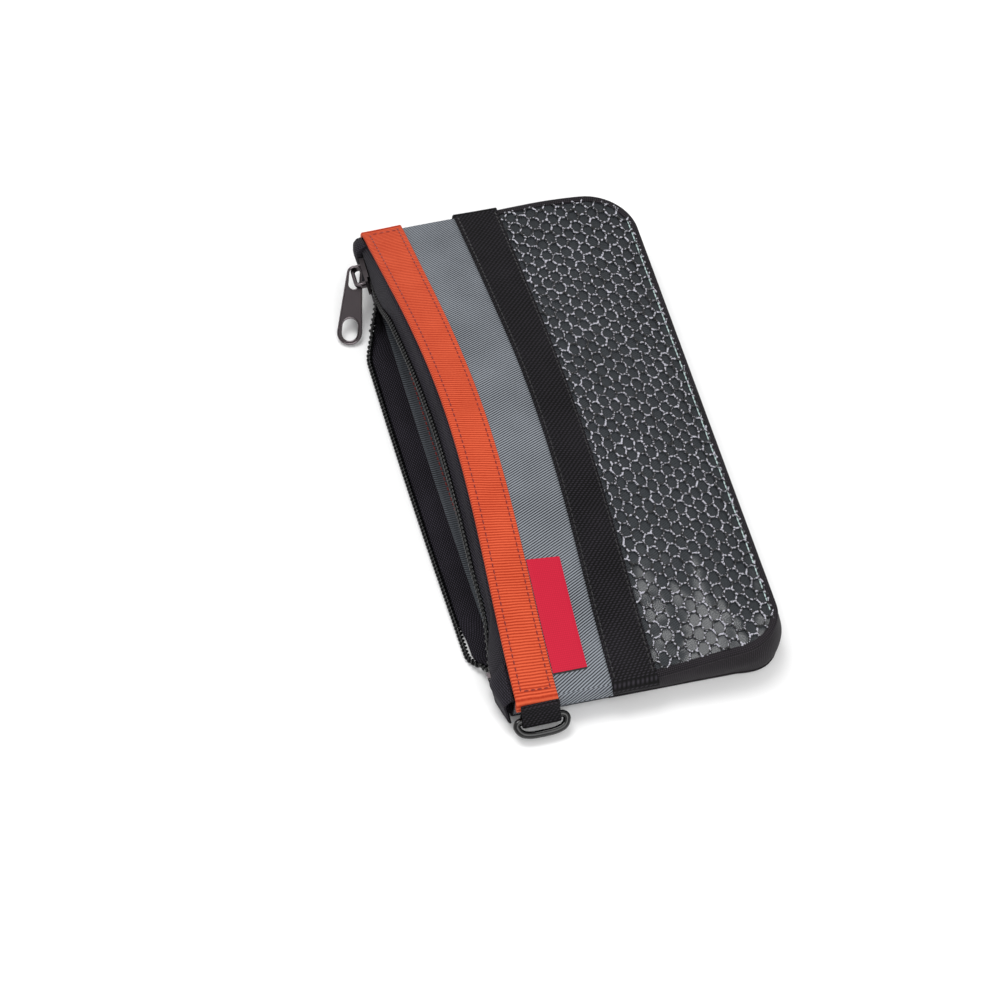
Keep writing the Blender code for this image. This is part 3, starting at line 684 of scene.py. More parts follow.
def splineThrough(points, count):
    ends = [points[0] * 2 - points[1]] + list(points) + [points[-1] * 2 - points[-2]]
    found = []
    for share in spread(0, len(points) - 1.0001, count):
        i = int(share)
        t = share - i
        a, b, c, d = ends[i : i + 4]
        square = (a * 2 - b * 5 + c * 4 - d) * t * t
        cube = (b * 3 - a - c * 3 + d) * t**3
        found.append((b * 2 + (c - a) * t + square + cube) / 2)
    return found


def stripRing(start, end, across, lift, thick, count, rib=0.0, tooth=0.0, fold=0.0):
    half = thick / 2
    ring = []
    for turn in spread(-90, 90, 5):
        inward = half - half * math.cos(math.radians(turn)) + tooth
        up = half + (half + rib) * math.sin(math.radians(turn))
        ring.append(frontPoint(start + inward, across, lift + up))
    for reach in spread(start + thick, end - thick, count):
        ring.append(frontPoint(reach, across, lift + thick + rib))
    for turn in spread(90, -90, 5):
        inward = half - half * math.cos(math.radians(turn)) + tooth
        up = half + (half + rib) * math.sin(math.radians(turn))
        ring.append(frontPoint(end - inward, across, lift + up * (1 + fold / thick) - fold))
    if fold:
        # the strip is turned down over the edge that it covers
        ring.append(frontPoint(end - thick * 0.55, across, lift - fold))
        ring.append(frontPoint(end - thick * 0.55, across, lift))
    for reach in spread(end - thick, start + thick, max(count // 2, 3)):
        ring.append(frontPoint(reach, across, lift))
    return ring


def turnedEnd(side, start, end, lift, size):
    fold = size.get("fold", 0)
    flatRing = stripRing(start, end, side, lift, size["thick"], size["columns"], fold=fold)
    # the strip turns about a sheet under it, which is next to nothing thick and has as many points
    rootThick = 0.001 * mm
    rootFold = rootThick / 10 if fold else 0
    rootLift = -size["thick"] * 0.5
    roots = stripRing(start, end, side, rootLift, rootThick, size["columns"], fold=rootFold)
    bend = size["turnRadius"]
    found = []
    for share in spread(1, 0, 9):
        angle = math.radians(90 * min(share * 2, 1))
        down = bend * (1 - math.cos(angle)) * 0.5
        down += max(share * 2 - 1, 0) * (size["turnDown"] - bend * 0.5)
        ring = []
        for point, root in zip(flatRing, roots):
            above = point - root
            out = Vector((0, side, 0)) * above.length
            ring.append(root + above * math.cos(angle) + out * math.sin(angle) - Vector((0, 0, down)))
        found.append((ring, side * (halfLength + size["turnDown"] * share)))
    return found if side < 0 else found[::-1]


stitch = {
    "length": 2.3 * mm,
    "radius": 0.34 * mm,
    "sink": 0.16 * mm,
    "pitch": 3.1 * mm,
    "inset": 2.6 * mm,
    "endInset": 3 * mm,
    "blackInset": 1.8 * mm,
    "filmInset": 3 * mm,
    "filmLift": 0.85 * mm,
    "filmPitch": 2.48 * mm,
    # how far each seam runs, as a share of half the bag's length
    "orangeAlong": 0.985,
    "endAlong": 0.982,
    "blackAlong": 0.99,
    "filmAlong": 0.94,
    "hemAlong": 0.97,
    "sides": 6,
    # places along half a stitch and how full the thread is there
    "shape": ((-1.0, 0.25), (-0.8, 0.75), (-0.35, 1.0), (0.35, 1.0), (0.8, 0.75), (1.0, 0.25)),
}


def addStitches(name, marks, thread):
    points, faces = [], []
    for centre, ahead, up in marks:
        side = ahead.cross(up).normalized()
        rings = []
        for share, width in stitch["shape"]:
            middle = centre + ahead * share * stitch["length"] / 2 - up * stitch["sink"] * share * share
            rings.append(circleRound(middle, side, up, stitch["radius"] * width, stitch["sides"]))
        addTube(points, faces, rings)
    mesh = bpy.data.meshes.new(name)
    mesh.from_pydata(points, [], faces)
    layer = mesh.uv_layers.new(name="millimetres")
    for corner in mesh.loops:
        place = mesh.vertices[corner.vertex_index].co
        layer.data[corner.index].uv = (place.x / mm, place.y / mm)
    addPiece(name, mesh, thread)


def marksAlong(points, normals, pitch):
    marks = []
    travelled, goal = 0.0, pitch / 2
    for i in range(len(points) - 1):
        step = points[i + 1] - points[i]
        while travelled + step.length >= goal:
            share = (goal - travelled) / step.length
            marks.append((points[i] + step * share, step.normalized(), normals[i]))
            goal += pitch
        travelled += step.length
    return marks


def frontLine(reach, lift, along, count=160):
    points, normals = [], []
    for across in spread(-along, along, count):
        points.append(frontPoint(reach, across, lift))
        slope = frontAt(reach, frontY(reach, across))[2]
        normals.append(Vector((math.sin(slope), 0, math.cos(slope))))
    return points, normals


# Front strips

filmSheet = {
    "thick": 0.5 * mm,
    "rows": 250,
    "columns": 52,
    "crowding": 1.25,  # draws the columns towards the base
    "crease": 0.5 * mm,
    "creaseSize": 13 * mm,
    "creaseLong": 2.2,
    "smallCrease": 0.5,
    "calm": 9 * mm,  # flat where it is sewn
    "nearCrease": 1.2,  # how much deeper the creases are towards the near end
    "nearFrom": 60 * mm,
    "crush": 0.5 * mm,
    "crushReach": 8 * mm,
    "crushAlong": 5.5 * mm,
    "crushRoom": 30 * mm,
    "crushFade": 22 * mm,
    "crushCalm": 3 * mm,
}
greyCloth = {"rows": 170, "columns": 22}
greyFold = {
    "thick": 0.8 * mm,
    "columns": 12,
    "turnDown": 5.5 * mm,
    "turnRadius": 3 * mm,
    "underBlack": 0.3 * mm,
    "underOrange": 1 * mm,
    "lift": 0.1 * mm,
}
blackRibs = {
    "width": bag["blackBandWidth"],
    "turnDown": 2.6 * mm,
    "turnRadius": 1.4 * mm,
    "thick": 1.0 * mm,
    "rows": 990,
    "columns": 12,
    "rib": 0.16 * mm,
    "ribPitch": 1.15 * mm,
    "tooth": 0.28 * mm,
    "toothPitch": 2.2 * mm,
}
orangeRibs = {
    "width": bag["orangeBandWidth"],
    "over": 0.7 * mm,  # it laps the mouth edge by this much and turns down
    "fold": 1.3 * mm,
    "thick": 1.0 * mm,
    "columns": 14,
    "rib": 0.15 * mm,
    "ribPitch": 1.3 * mm,
    "tooth": 0.12 * mm,
    "toothPitch": 1.3 * mm,
    "rows": 1310,
    "turnDown": 4 * mm,
    "turnRadius": 1.6 * mm,
}


def frontPlace(reach, y, lift):
    return frontPoint(reach, y / endOfFront(reach, y > 0), lift)


def filmCrease(reach, y):
    size = filmSheet["creaseSize"]
    room = min(reach + 1 * mm, halfLength - abs(y), bag["windowWidth"] + 3 * mm - reach)
    fold = noise.noise(Vector((reach / size, y / size / filmSheet["creaseLong"], 7.7)))
    fold += filmSheet["smallCrease"] * noise.noise(Vector((reach / size * 2.1, y / size, 1.7)))
    near = 1 + filmSheet["nearCrease"] * smooth((-y - filmSheet["nearFrom"]) / filmSheet["nearFrom"])
    slow = fold * filmSheet["crease"] * near * smooth(room / filmSheet["calm"])
    # crushed small where the bag is pressed together at its near end
    crumb = Vector((reach / filmSheet["crushReach"], y / filmSheet["crushAlong"], 3.3))
    pressed = smooth((-y - halfLength + filmSheet["crushRoom"]) / filmSheet["crushFade"])
    small = noise.noise(crumb) * pressed * filmSheet["crush"]
    return slow + small * smooth(room / filmSheet["crushCalm"])


def filmPoint(reach, across, lift):
    return frontPoint(reach, across, lift + filmCrease(reach, frontY(reach, across)))


def makeFilm():
    end = bag["windowWidth"] + bag["seam"]
    shares = spread(0, 1, filmSheet["columns"] + 1)
    reaches = [end * share ** filmSheet["crowding"] for share in shares]
    rings, stations = [], []
    for across in spread(-1, 1, filmSheet["rows"]):
        top = [filmPoint(reach, across, filmSheet["thick"]) for reach in reaches]
        under = [filmPoint(reach, across, 0) for reach in reversed(reaches)]
        rings.append(top + under)
        stations.append(across * halfLength)
    mesh = meshFromLoft("film_sheet", rings, stations)
    return addPiece("film_sheet", mesh, clearFilm, "bag", ["window_film"])


net = {
    "columnPitch": 4.7 * mm,  # cells measured in the photo: 4.7 mm across, 7.4 mm along
    "rowPitch": 7.4 * mm,
    "yarn": 0.26 * mm,
    "twist": 0.26 * mm,
    "twistWide": 1.35,
    "twistHigh": 0.7,
    "halfTurns": 4,
    "phase": 0.37,
    "steps": 9,
    "sides": 5,
    "lift": 1.25 * mm,
    "margin": 1.9 * mm,  # its cut edge runs into the black roll
    "under": 0.8 * mm,
    "wanderReach": 0.35 * mm,
    "wanderAlong": 0.45 * mm,
    "seed": 1,  # without it the vector noise starts from the clock, and each run knits another net
}


def netCorner(corner):
    wander = noise.noise_vector(Vector((corner[0] * 0.61, corner[1] * 0.47, 5.5)))
    reach = corner[0] * net["columnPitch"] / 3 + wander.x * net["wanderReach"]
    return reach, corner[1] * net["rowPitch"] / 2 - halfLength + wander.y * net["wanderAlong"]


def makeNet():
    noise.seed_set(net["seed"])
    columns = int(bag["windowWidth"] / net["columnPitch"]) + 2
    rows = int(bag["length"] / net["rowPitch"]) + 2
    edges = set()
    for column in range(-1, columns):
        for row in range(-1, rows + 1):
            u, v = column * 3, row * 2 + column % 2
            cell = [(2, 0), (1, 1), (-1, 1), (-2, 0), (-1, -1), (1, -1)]
            corners = [(u + right, v + up) for right, up in cell]
            for a, b in zip(corners, corners[1:] + corners[:1]):
                edges.add((min(a, b), max(a, b)))
    points, faces = [], []
    for number, (a, b) in enumerate(sorted(edges)):
        start, end = netCorner(a), netCorner(b)
        kept = []
        for share in spread(0, 1, net["steps"]):
            reach, y = mix(start[0], end[0], share), mix(start[1], end[1], share)
            limit = endOfFront(reach, y > 0)
            inside = net["margin"] < reach < bag["windowWidth"] + net["under"]
            if inside and abs(y) < limit - net["margin"]:
                kept.append((share, filmPoint(reach, y / limit, net["lift"])))
        if len(kept) < 3:
            continue
        ahead = (kept[-1][1] - kept[0][1]).normalized()
        side = ahead.cross(Vector((0, 0, 1))).normalized()
        up = side.cross(ahead)
        for strand in (0, 1):
            rings = []
            for share, point in kept:
                wind = math.pi * (strand + net["halfTurns"] * share + number * net["phase"])
                swing = side * math.cos(wind) * net["twistWide"] + up * math.sin(wind) * net["twistHigh"]
                rings.append(circleRound(point + swing * net["twist"], side, up, net["yarn"], net["sides"]))
            addTube(points, faces, rings)
    mesh = bpy.data.meshes.new("net_knit")
    mesh.from_pydata(points, [], faces)
    return addPiece("net_knit", mesh, netYarn, "bag", ["window_net"], 180)


def makeGreyPanel():
    start = bag["windowWidth"] + bag["seam"] + bag["gap"]
    rings, stations = [], []
    for across in spread(-1, 1, greyCloth["rows"]):
        rings.append(stripRing(start, frontDepth, across, 0, bag["panelCloth"], greyCloth["columns"]))
        stations.append(across * halfLength)
    mesh = meshFromLoft("grey_twill_panel", rings, stations)
    addPiece("grey_twill_panel", mesh, greyTwill, "bag", ["grey_panel"])
    # at the near end it is folded down over the wall
    start, end = blackEnd - greyFold["underBlack"], orangeStart + greyFold["underOrange"]
    rows = turnedEnd(-1, start, end, greyFold["lift"], greyFold)
    mesh = meshFromLoft("grey_end_fold", [row[0] for row in rows], [row[1] for row in rows])
    addPiece("grey_end_fold", mesh, greyTwill)


def ribbedBand(name, start, size, finish, node):
    end = start + size["width"] + size.get("over", 0)
    near = turnedEnd(-1, start, end, bandLift, size)
    far = turnedEnd(1, start, end, bandLift, size)
    middle = []
    for across in spread(-1, 1, size["rows"])[1:-1]:
        y = across * halfLength
        rib = size["rib"] * (abs(math.sin(math.pi * y / size["ribPitch"])) - 1)
        tooth = size["tooth"] * (0.5 + 0.5 * math.sin(2 * math.pi * y / size["toothPitch"]))
        fold = size.get("fold", 0)
        ring = stripRing(
            start, end, across, bandLift, size["thick"], size["columns"], rib, tooth, fold
        )
        middle.append((ring, y))
    rows = near + middle + far
    mesh = meshFromLoft(name, [row[0] for row in rows], [row[1] for row in rows])
    return addPiece(name, mesh, finish, "bag", [node])


def makeFrontStitches():
    marks = []
    top = bandLift + orangeRibs["thick"]
    for reach in (orangeStart + stitch["inset"], frontDepth - stitch["inset"]):
        marks += marksAlong(*frontLine(reach, top, stitch["orangeAlong"]), stitch["pitch"])
    for across in (-stitch["endAlong"], stitch["endAlong"]):
        reaches = spread(orangeStart + stitch["endInset"], frontDepth - stitch["endInset"], 9)
        points = [frontPoint(reach, across, top) for reach in reaches]
        marks += marksAlong(points, [Vector((0, 0, 1))] * len(points), stitch["pitch"])
    addStitches("orange_band_stitches", marks, redThread)
    marks = []
    top = bandLift + blackRibs["thick"]
    for reach in (bag["windowWidth"] + stitch["blackInset"], blackEnd - stitch["blackInset"]):
        marks += marksAlong(*frontLine(reach, top, stitch["blackAlong"]), stitch["pitch"])
    addStitches("black_band_stitches", marks, blackThread)
    line = frontLine(stitch["filmInset"], stitch["filmLift"], stitch["filmAlong"])
    addStitches("film_edge_stitches", marksAlong(*line, stitch["filmPitch"]), paleThread)


label = {
    "width": 16.5 * mm,
    "length": 51.5 * mm,
    "start": 11.5 * mm,
    "thick": 0.5 * mm,
    "edge": 0.7 * mm,
    "edgeShare": 0.45,
    "puff": 0.25 * mm,
    "rows": 40,
    "columns": 14,
    "foldFrom": -0.55 * mm,
    "foldTo": 0.6 * mm,
    "foldThick": 0.28 * mm,
}


def makeLabel():
    first = -halfLength + label["start"]
    start, end = orangeStart - label["width"], orangeStart - bag["gap"]
    rows, columns = label["rows"], label["columns"]
    rings, stations = [], []
    for i in range(rows + 1):
        y = first + label["length"] * i / rows
        fromEnd = min(i, rows - i) / rows * label["length"]
        thin = label["thick"] * mix(label["edgeShare"], 1, smooth(fromEnd / label["edge"]))
        ring = []
        for j, reach in enumerate(spread(start, end, columns + 1)):
            puff = label["puff"] * math.sin(math.pi * j / columns) * math.sin(math.pi * i / rows)
            fromSide = min(j, columns - j) / columns * label["width"]
            top = thin * mix(label["edgeShare"], 1, smooth(fromSide / label["edge"])) + puff
            ring.append(frontPlace(reach, y, bandLift + top))
        ring += [frontPlace(reach, y, bandLift) for reach in spread(end, start, columns + 1)]
        rings.append(ring)
        stations.append(y)
    mesh = meshFromLoft("red_label", rings, stations)
    addPiece("red_label", mesh, redDamask, "bag", ["label"])
    # a thin black strip under its near end paints the shade under the fold as a dark line
    low = bandLift - bag["gap"]
    rings, stations = [], []
    for y in spread(first + label["foldFrom"], first + label["foldTo"], 5):
        top = [frontPlace(reach, y, low + label["foldThick"]) for reach in spread(start, end, 8)]
        rings.append(top + [frontPlace(reach, y, low) for reach in spread(end, start, 8)])
        stations.append(y)
    addPiece("label_fold_shade", meshFromLoft("label_fold_shade", rings, stations), blackThread)


makeFilm()
makeNet()
makeGreyPanel()
ribbedBand(
    "black_rib_band", bag["windowWidth"], blackRibs, blackWebbing, "black_band"
)
ribbedBand(
    "orange_rib_band", orangeStart, orangeRibs, orangeGrosgrain, "orange_band"
)
makeFrontStitches()
makeLabel()
print("front strips, film and net made")

# Wall, back and what is sewn inside

wall = {
    "cloth": 1.0 * mm,
    "bulge": 2.5 * mm,
    "foot": 0.9 * mm,  # sunk into the edge of the back, so that no light comes through the seam
    "crumple": 0.55 * mm,
    "crumpleSize": 11 * mm,
    "tuck": 4.5 * mm,  # the near end is pressed in under the front
    "tuckFrom": 0.85,
    "tuckReach": 25 * mm,
    "rows": 13,
    "greyColumns": 26,
    "greyCrumple": 0.33 * mm,
}


def nearTuck(reach, across):
    end = smooth((-across - wall["tuckFrom"]) / (1 - wall["tuckFrom"]))
    return wall["tuck"] * end * smooth(reach / wall["tuckReach"])


def wallPoint(reach, across, share, inset=0.0, crumple=0.0):
    y = frontY(reach, across)
    foot = Vector((baseX - reach, y + nearTuck(reach, across), wall["foot"]))
    x, z, slope = frontAt(reach, y)
    plain = foot.lerp(Vector((x, y, z - bag["gap"])), share)
    nudge = 0.01 * bag["length"]
    out = Vector((1, 0, 0))
    if abs(across) == 1 and reach > 0:
        high, low = min(reach + nudge, frontDepth), max(reach - nudge, 0)
        ahead = frontY(high, across) - frontY(low, across)
        out = Vector((abs(ahead), math.copysign(high - low, across), 0)).normalized()
    swell = wall["bulge"] * math.sin(math.pi * share) * (1 - reach / frontDepth)
    size = wall["crumpleSize"]
    fold = noise.noise(Vector((plain.x / size, plain.y / size, share * 2.3)))
    fold *= crumple * math.sin(math.pi * share)
    return plain + out * (swell + fold - inset)


def wallRing(reach, across, crumple):
    outer = [wallPoint(reach, across, s, 0, crumple) for s in spread(0, 1, wall["rows"])]
    inner = [wallPoint(reach, across, s, wall["cloth"], crumple) for s in spread(1, 0, wall["rows"])]
    return outer + inner


def placesRound(stop, cornerCount=16, endCount=60, baseCount=150):
    corner = bag["baseCorner"]
    turns = [corner * (1 - math.cos(t)) for t in spread(0, math.pi / 2, cornerCount)]
    reaches = turns + spread(corner, stop, endCount)[1:]
    near = [(reach, -1) for reach in reversed(reaches)]
    base = [(0, across) for across in spread(-1, 1, baseCount)[1:-1]]
    far = [(reach, 1) for reach in reaches]
    return near + base + far


def stationsOf(rings):
    found = [0.0]
    for a, b in zip(rings, rings[1:]):
        found.append(found[-1] + (b[0] - a[0]).length)
    return found


def makeWall():
    places = placesRound(blackEnd - bag["gap"])
    rings = [wallRing(reach, across, wall["crumple"]) for reach, across in places]
    mesh = meshFromLoft("black_cloth_wall", rings, stationsOf(rings))
    addPiece("black_cloth_wall", mesh, blackPackcloth, "bag", ["gusset_black"], 70)
    for name, side in (("near", -1), ("far", 1)):
        reaches = spread(blackEnd, frontDepth, wall["greyColumns"])
        rings = [wallRing(reach, side, wall["greyCrumple"]) for reach in reaches]
        mesh = meshFromLoft("grey_wall_" + name, rings, stationsOf(rings))
        addPiece("grey_wall_" + name, mesh, greyTwill, "bag", ["gusset_grey_" + name], 70)


seamEdge = {
    "radius": 0.75 * mm,
    "inset": 0.15 * mm,
    "sides": 8,
    "headShare": 0.985,
    "footShare": 0.03,
}


def makeSeamEdges():
    meshes = []
    for share in (seamEdge["headShare"], seamEdge["footShare"]):
        line = []
        for reach, across in placesRound(blackEnd - bag["gap"]):
            line.append(wallPoint(reach, across, share, seamEdge["inset"]))
        rings = tubeRings(line, seamEdge["radius"], seamEdge["sides"])
        meshes.append(meshFromLoft("wall_seam", rings, stationsOf(rings)))
    addPiece("wall_seam_edges", joinMeshes("wall_seam_edges", meshes), blackPackcloth)


filmRoll = {
    "over": 1 * mm,  # its ends run on over the black band by this much
    "inward": 1.0 * mm,
    "wide": 1.75 * mm,
    "high": 0.85 * mm,
    "lift": 0.55 * mm,
    "sides": 14,
    "fold": 0.12 * mm,
    "foldSize": 6 * mm,
}


def makeFilmRoll():
    flat = []
    for reach, across in placesRound(bag["windowWidth"] + filmRoll["over"]):
        flat.append(Vector((baseX - reach, frontY(reach, across), 0)))
    rings = []
    size = filmRoll["foldSize"]
    for i, point in enumerate(flat):
        ahead = (flat[min(i + 1, len(flat) - 1)] - flat[max(i - 1, 0)]).normalized()
        inward = Vector((-ahead.y, ahead.x, 0))
        ring = []
        for k in range(filmRoll["sides"]):
            turn = 2 * math.pi * k / filmRoll["sides"]
            wide = squarer(math.cos(turn), 0.8) * filmRoll["wide"]
            place = point + inward * (filmRoll["inward"] + wide)
            x, z, slope = frontAt(baseX - place.x, place.y)
            fold = filmRoll["fold"] * noise.noise(Vector((place.x / size, place.y / size, 2.2)))
            lift = filmRoll["lift"] + filmRoll["high"] * math.sin(turn) + fold
            ring.append(Vector((place.x, place.y, z + lift)))
        rings.append(ring)
    mesh = meshFromLoft("film_edge_roll", rings, stationsOf(rings))
    addPiece("film_edge_roll", mesh, blackPackcloth, "bag", (), 80)


def tubeRings(line, radius, sides):
    rings = []
    for i, point in enumerate(line):
        ahead = (line[min(i + 1, len(line) - 1)] - line[max(i - 1, 0)]).normalized()
        side = ahead.cross(Vector((0, 0, 1))).normalized()
        rings.append(circleRound(point, side, side.cross(ahead), radius, sides))
    return rings


binding = {"thick": 1.4 * mm, "widthShare": 0.14, "marginShare": 0.07}


def makeBindings():
    inset = wall["cloth"] + bag["gap"] + binding["thick"] / 2
    high = 1 - binding["marginShare"] - binding["widthShare"]
    for side, low in (("back", binding["marginShare"]), ("front", high)):
        middle = low + binding["widthShare"] / 2
        rings = []
        for reach, across in placesRound(
            frontDepth - bag["seam"], cornerCount=10, endCount=40, baseCount=90
        ):
            ring = []
            for turn in spread(0, 360, 13)[:-1]:
                angle = math.radians(turn)
                share = middle + squarer(math.cos(angle), 0.6) * binding["widthShare"] / 2
                deep = squarer(math.sin(angle), 0.6) * binding["thick"] / 2
                ring.append(wallPoint(reach, across, share, inset + deep))
            rings.append(ring)
        name = side + "_seam_tape"
        mesh = meshFromLoft(name, rings, stationsOf(rings))
        addPiece(name, mesh, blackWebbing, "bag", [side + "_seam_binding"], 80)


lip = {"bow": 2 * mm}


def lipX(y):
    return mouthX - lip["bow"] * archShare((y + halfLength) / bag["length"])


back = {
    "thick": 1.2 * mm,
    "rows": 120,
    "columns": 56,
    "edge": 0.5 * mm,
    "edgeShare": 0.65,
    "wave": 0.12 * mm,
    "waveWide": 20 * mm,
    "waveLong": 30 * mm,
}


def makeBack():
    corner = bag["baseCorner"]
    turns = [corner * (1 - math.cos(t)) for t in spread(0, math.pi / 2, 16)]
    reaches = turns + spread(corner, frontDepth, back["columns"])[1:]
    rings, stations = [], []
    for across in spread(-1, 1, back["rows"]):
        top, under = [], []
        endward = smooth((1 - abs(across)) * halfLength / back["edge"])
        for reach in reaches:
            y = frontY(reach, across) + nearTuck(reach, across)
            x = baseX - reach
            x += (lipX(y) - mouthX) * smooth((reach - orangeStart) / (frontDepth - orangeStart))
            fromSide = min(smooth(reach / back["edge"]), smooth((frontDepth - reach) / back["edge"]))
            edgeward = min(fromSide, endward)
            inside = mix(back["edgeShare"], 1, edgeward)
            wave = noise.noise(Vector((x / back["waveWide"], y / back["waveLong"], 9.1)))
            top.append(Vector((x, y, back["thick"] * inside + back["wave"] * wave * edgeward)))
            under.append(Vector((x, y, back["thick"] * (1 - inside))))
        rings.append(top + under[::-1])
        stations.append(across * halfLength)
    mesh = meshFromLoft("grey_back_cloth", rings, stations)
    addPiece("grey_back_cloth", mesh, greyLiningInShade, "bag", ["back_panel"], 60)


hem = {
    "width": 15 * mm,
    "thick": 0.8 * mm,
    "height": 2.7 * mm,
    "setback": 1.5 * mm,
    "endInset": 4 * mm,
    "rollShare": 0.18,  # of its width, where the cloth is turned over
    "rows": 150,
    "wave": 0.3 * mm,
    "waveWide": 12 * mm,
    "waveLong": 25 * mm,
    "seamShare": 0.32,
    "seamLift": 0.1 * mm,
    "tackLift": 0.25 * mm,
    "tackShare": 0.62,
    "tackAcross": -0.25,
    "tackReach": 1.6 * mm,
}


def hemPoint(share, across, lift):
    y = frontY(frontDepth, across) * (1 - hem["endInset"] / halfLength)
    x = lipX(y) + hem["setback"] + hem["width"] * share
    wave = hem["wave"] * noise.noise(Vector((x / hem["waveWide"], y / hem["waveLong"], 4.4)))
    return Vector((x, y, hem["height"] + lift + wave))


def makeHem():
    rings, stations = [], []
    for across in spread(-1, 1, hem["rows"]):
        ring = []
        for share in spread(0, 1, 15):
            thick = hem["thick"]
            if share < hem["rollShare"]:
                thick = hem["thick"] * (0.5 + 0.82 * math.sin(math.pi * share / hem["rollShare"]))
            ring.append(hemPoint(share, across, thick))
        rings.append(ring + [hemPoint(share, across, 0.0) for share in spread(1, 0, 8)])
        stations.append(across * halfLength)
    mesh = meshFromLoft("grey_hem", rings, stations)
    addPiece("grey_hem", mesh, greyLiningInShade, "bag", ["lower_hem"])
    up = Vector((0, 0, 1))
    seamLift, tackLift = hem["thick"] + hem["seamLift"], hem["thick"] + hem["tackLift"]
    places = spread(-stitch["hemAlong"], stitch["hemAlong"], 200)
    points = [hemPoint(hem["seamShare"], across, seamLift) for across in places]
    marks = marksAlong(points, [up] * len(points), stitch["pitch"])
    # one bar tack holds the hem down
    for along in spread(-hem["tackReach"], hem["tackReach"], 9):
        centre = hemPoint(hem["tackShare"], hem["tackAcross"], tackLift) + Vector((0, along, 0))
        marks.append((centre, Vector((1, 0, 0)), up))
    addStitches("hem_topstitch", marks, redThread)


makeWall()
makeFilmRoll()
makeSeamEdges()
makeBindings()
makeBack()
makeHem()
print("wall, back and hem made")

# Zip

zipSize = {
    "coil": 1.6 * mm,
    "coilGap": 0.3 * mm,
    "reach": 10 * mm,
    "lowerReach": 10.5 * mm,
    "dropArched": 58.0,
    "dropEnds": 74.0,
    "restOut": 1.3 * mm,
    "restHeight": 18.5 * mm,
    "endHeight": 17 * mm,
    "endOut": 6.5 * mm,
    "nearHeight": 8.5 * mm,
    "nearOut": 4.2 * mm,
    "nearInset": 27.7 * mm,
    "farHeight": 17.5 * mm,
    "endTuck": 3.5 * mm,
    "farTuck": 0.8 * mm,
    "upperClose": 41 * mm,
    "lowerClose": 33 * mm,
    "nearClose": 18 * mm,
    "stopGap": 6 * mm,
    "lean": 10.0,
    "kneeShare": 0.75,
    "stop": 3 * mm,
    "stopClear": 1.2 * mm,
    "stopTabGap": 1 * mm,
    "tape": 0.7 * mm,
    "tapeRows": 260,
    "tapeColumns": 18,
    "tapeUnder": 0.15 * mm,
    "tapeSink": 0.25 * mm,
    "thinFrom": 12,  # the column where the tape gets thin, at the coil's edge
    "thin": 0.35,
    "wale": 0.07 * mm,
    "tapeCoilGap": 0.6 * mm,
    "tapeEnd": 4 * mm,
    "nearTab": 16 * mm,
    "farTab": 4.6 * mm,
    "tabEnd": 0.6 * mm,
    "tabCloth": 0.9 * mm,
    "slider": 16 * mm,
    "sliderWidth": 12.4 * mm,
    "sliderPlate": 1.3 * mm,
    "clearance": 0.35 * mm,
    "coilSpread": 1.4 * mm,
    "wire": 0.6 * mm,
    "wirePitch": 2.1 * mm,
    "wireSteps": 12,
    "wireSides": 6,
    "core": 0.75 * mm,
    "sewnIn": 0.3 * mm,
    "coilStand": 0.75 * mm,  # the coil is sewn to the tape's outer face
    "freeTall": 0.78,  # how round the coil is where it is open
    "closedTall": 0.95,  # and where the two are hooked together
}
tapeToCoil = zipSize["coil"] + zipSize["tapeCoilGap"]
lean = math.radians(zipSize["lean"])
chainUp = Vector((-math.sin(lean), 0, math.cos(lean)))
coilSide = zipSize["coil"] + zipSize["coilGap"] / 2
farTabEnd = frontY(frontDepth, 1) - zipSize["tabEnd"]
nearTabEnd = frontY(frontDepth, -1) + zipSize["tabEnd"]
stopY = farTabEnd - zipSize["farTab"] - zipSize["stopTabGap"] - zipSize["stop"] / 2
sliderY = stopY - (zipSize["stop"] + zipSize["slider"]) / 2 - zipSize["stopClear"]
nearChainY = -halfLength + zipSize["nearInset"]
farChainY = farTabEnd - zipSize["farTab"] - bag["gap"]
nearChainStop = nearChainY - zipSize["stopGap"]
sliderRest = Vector((mouthX - zipSize["restOut"], sliderY, zipSize["restHeight"]))
sliderEnd = Vector(
    (mouthX - zipSize["endOut"], nearChainY + zipSize["slider"], zipSize["endHeight"])
)


def chainPoint(y):
    if y > sliderY:
        share = (y - sliderY) / (farChainY - sliderY)
        tucked = smooth((y - stopY) / (halfLength - stopY))
        x = sliderRest.x + zipSize["farTuck"] * tucked
        return Vector((x, y, mix(zipSize["restHeight"], zipSize["farHeight"], share)))
    near = Vector((mouthX - zipSize["nearOut"], nearChainY, zipSize["nearHeight"]))
    share = (sliderY - y) / (sliderY - nearChainY)
    point = sliderRest.lerp(near, share)
    tucked = (nearChainStop - y) / (nearChainStop + halfLength)
    point.x += zipSize["endTuck"] * smooth(tucked)
    return point


def nearClosed(y):
    return smooth((nearChainY + zipSize["nearClose"] - y) / zipSize["nearClose"])


def closedShare(y, side):
    length = zipSize["upperClose"] if side > 0 else zipSize["lowerClose"]
    far = smooth((y - sliderY + zipSize["slider"] / 2 + length) / length)
    return max(far, nearClosed(y))


def freeShare(y, side):
    # 1 where the tape hangs free, 0 at the slider and where the slider ends its travel
    past = y - sliderEnd.y - zipSize["slider"] / 2 - 1 * mm
    return (1 - closedShare(y, side)) * smooth(past / zipSize["slider"])


def coilOffset(y):
    ahead = (sliderY - y) / (zipSize["slider"] / 2)
    return coilSide + zipSize["coilSpread"] * smooth(ahead) * (1 - nearClosed(y))


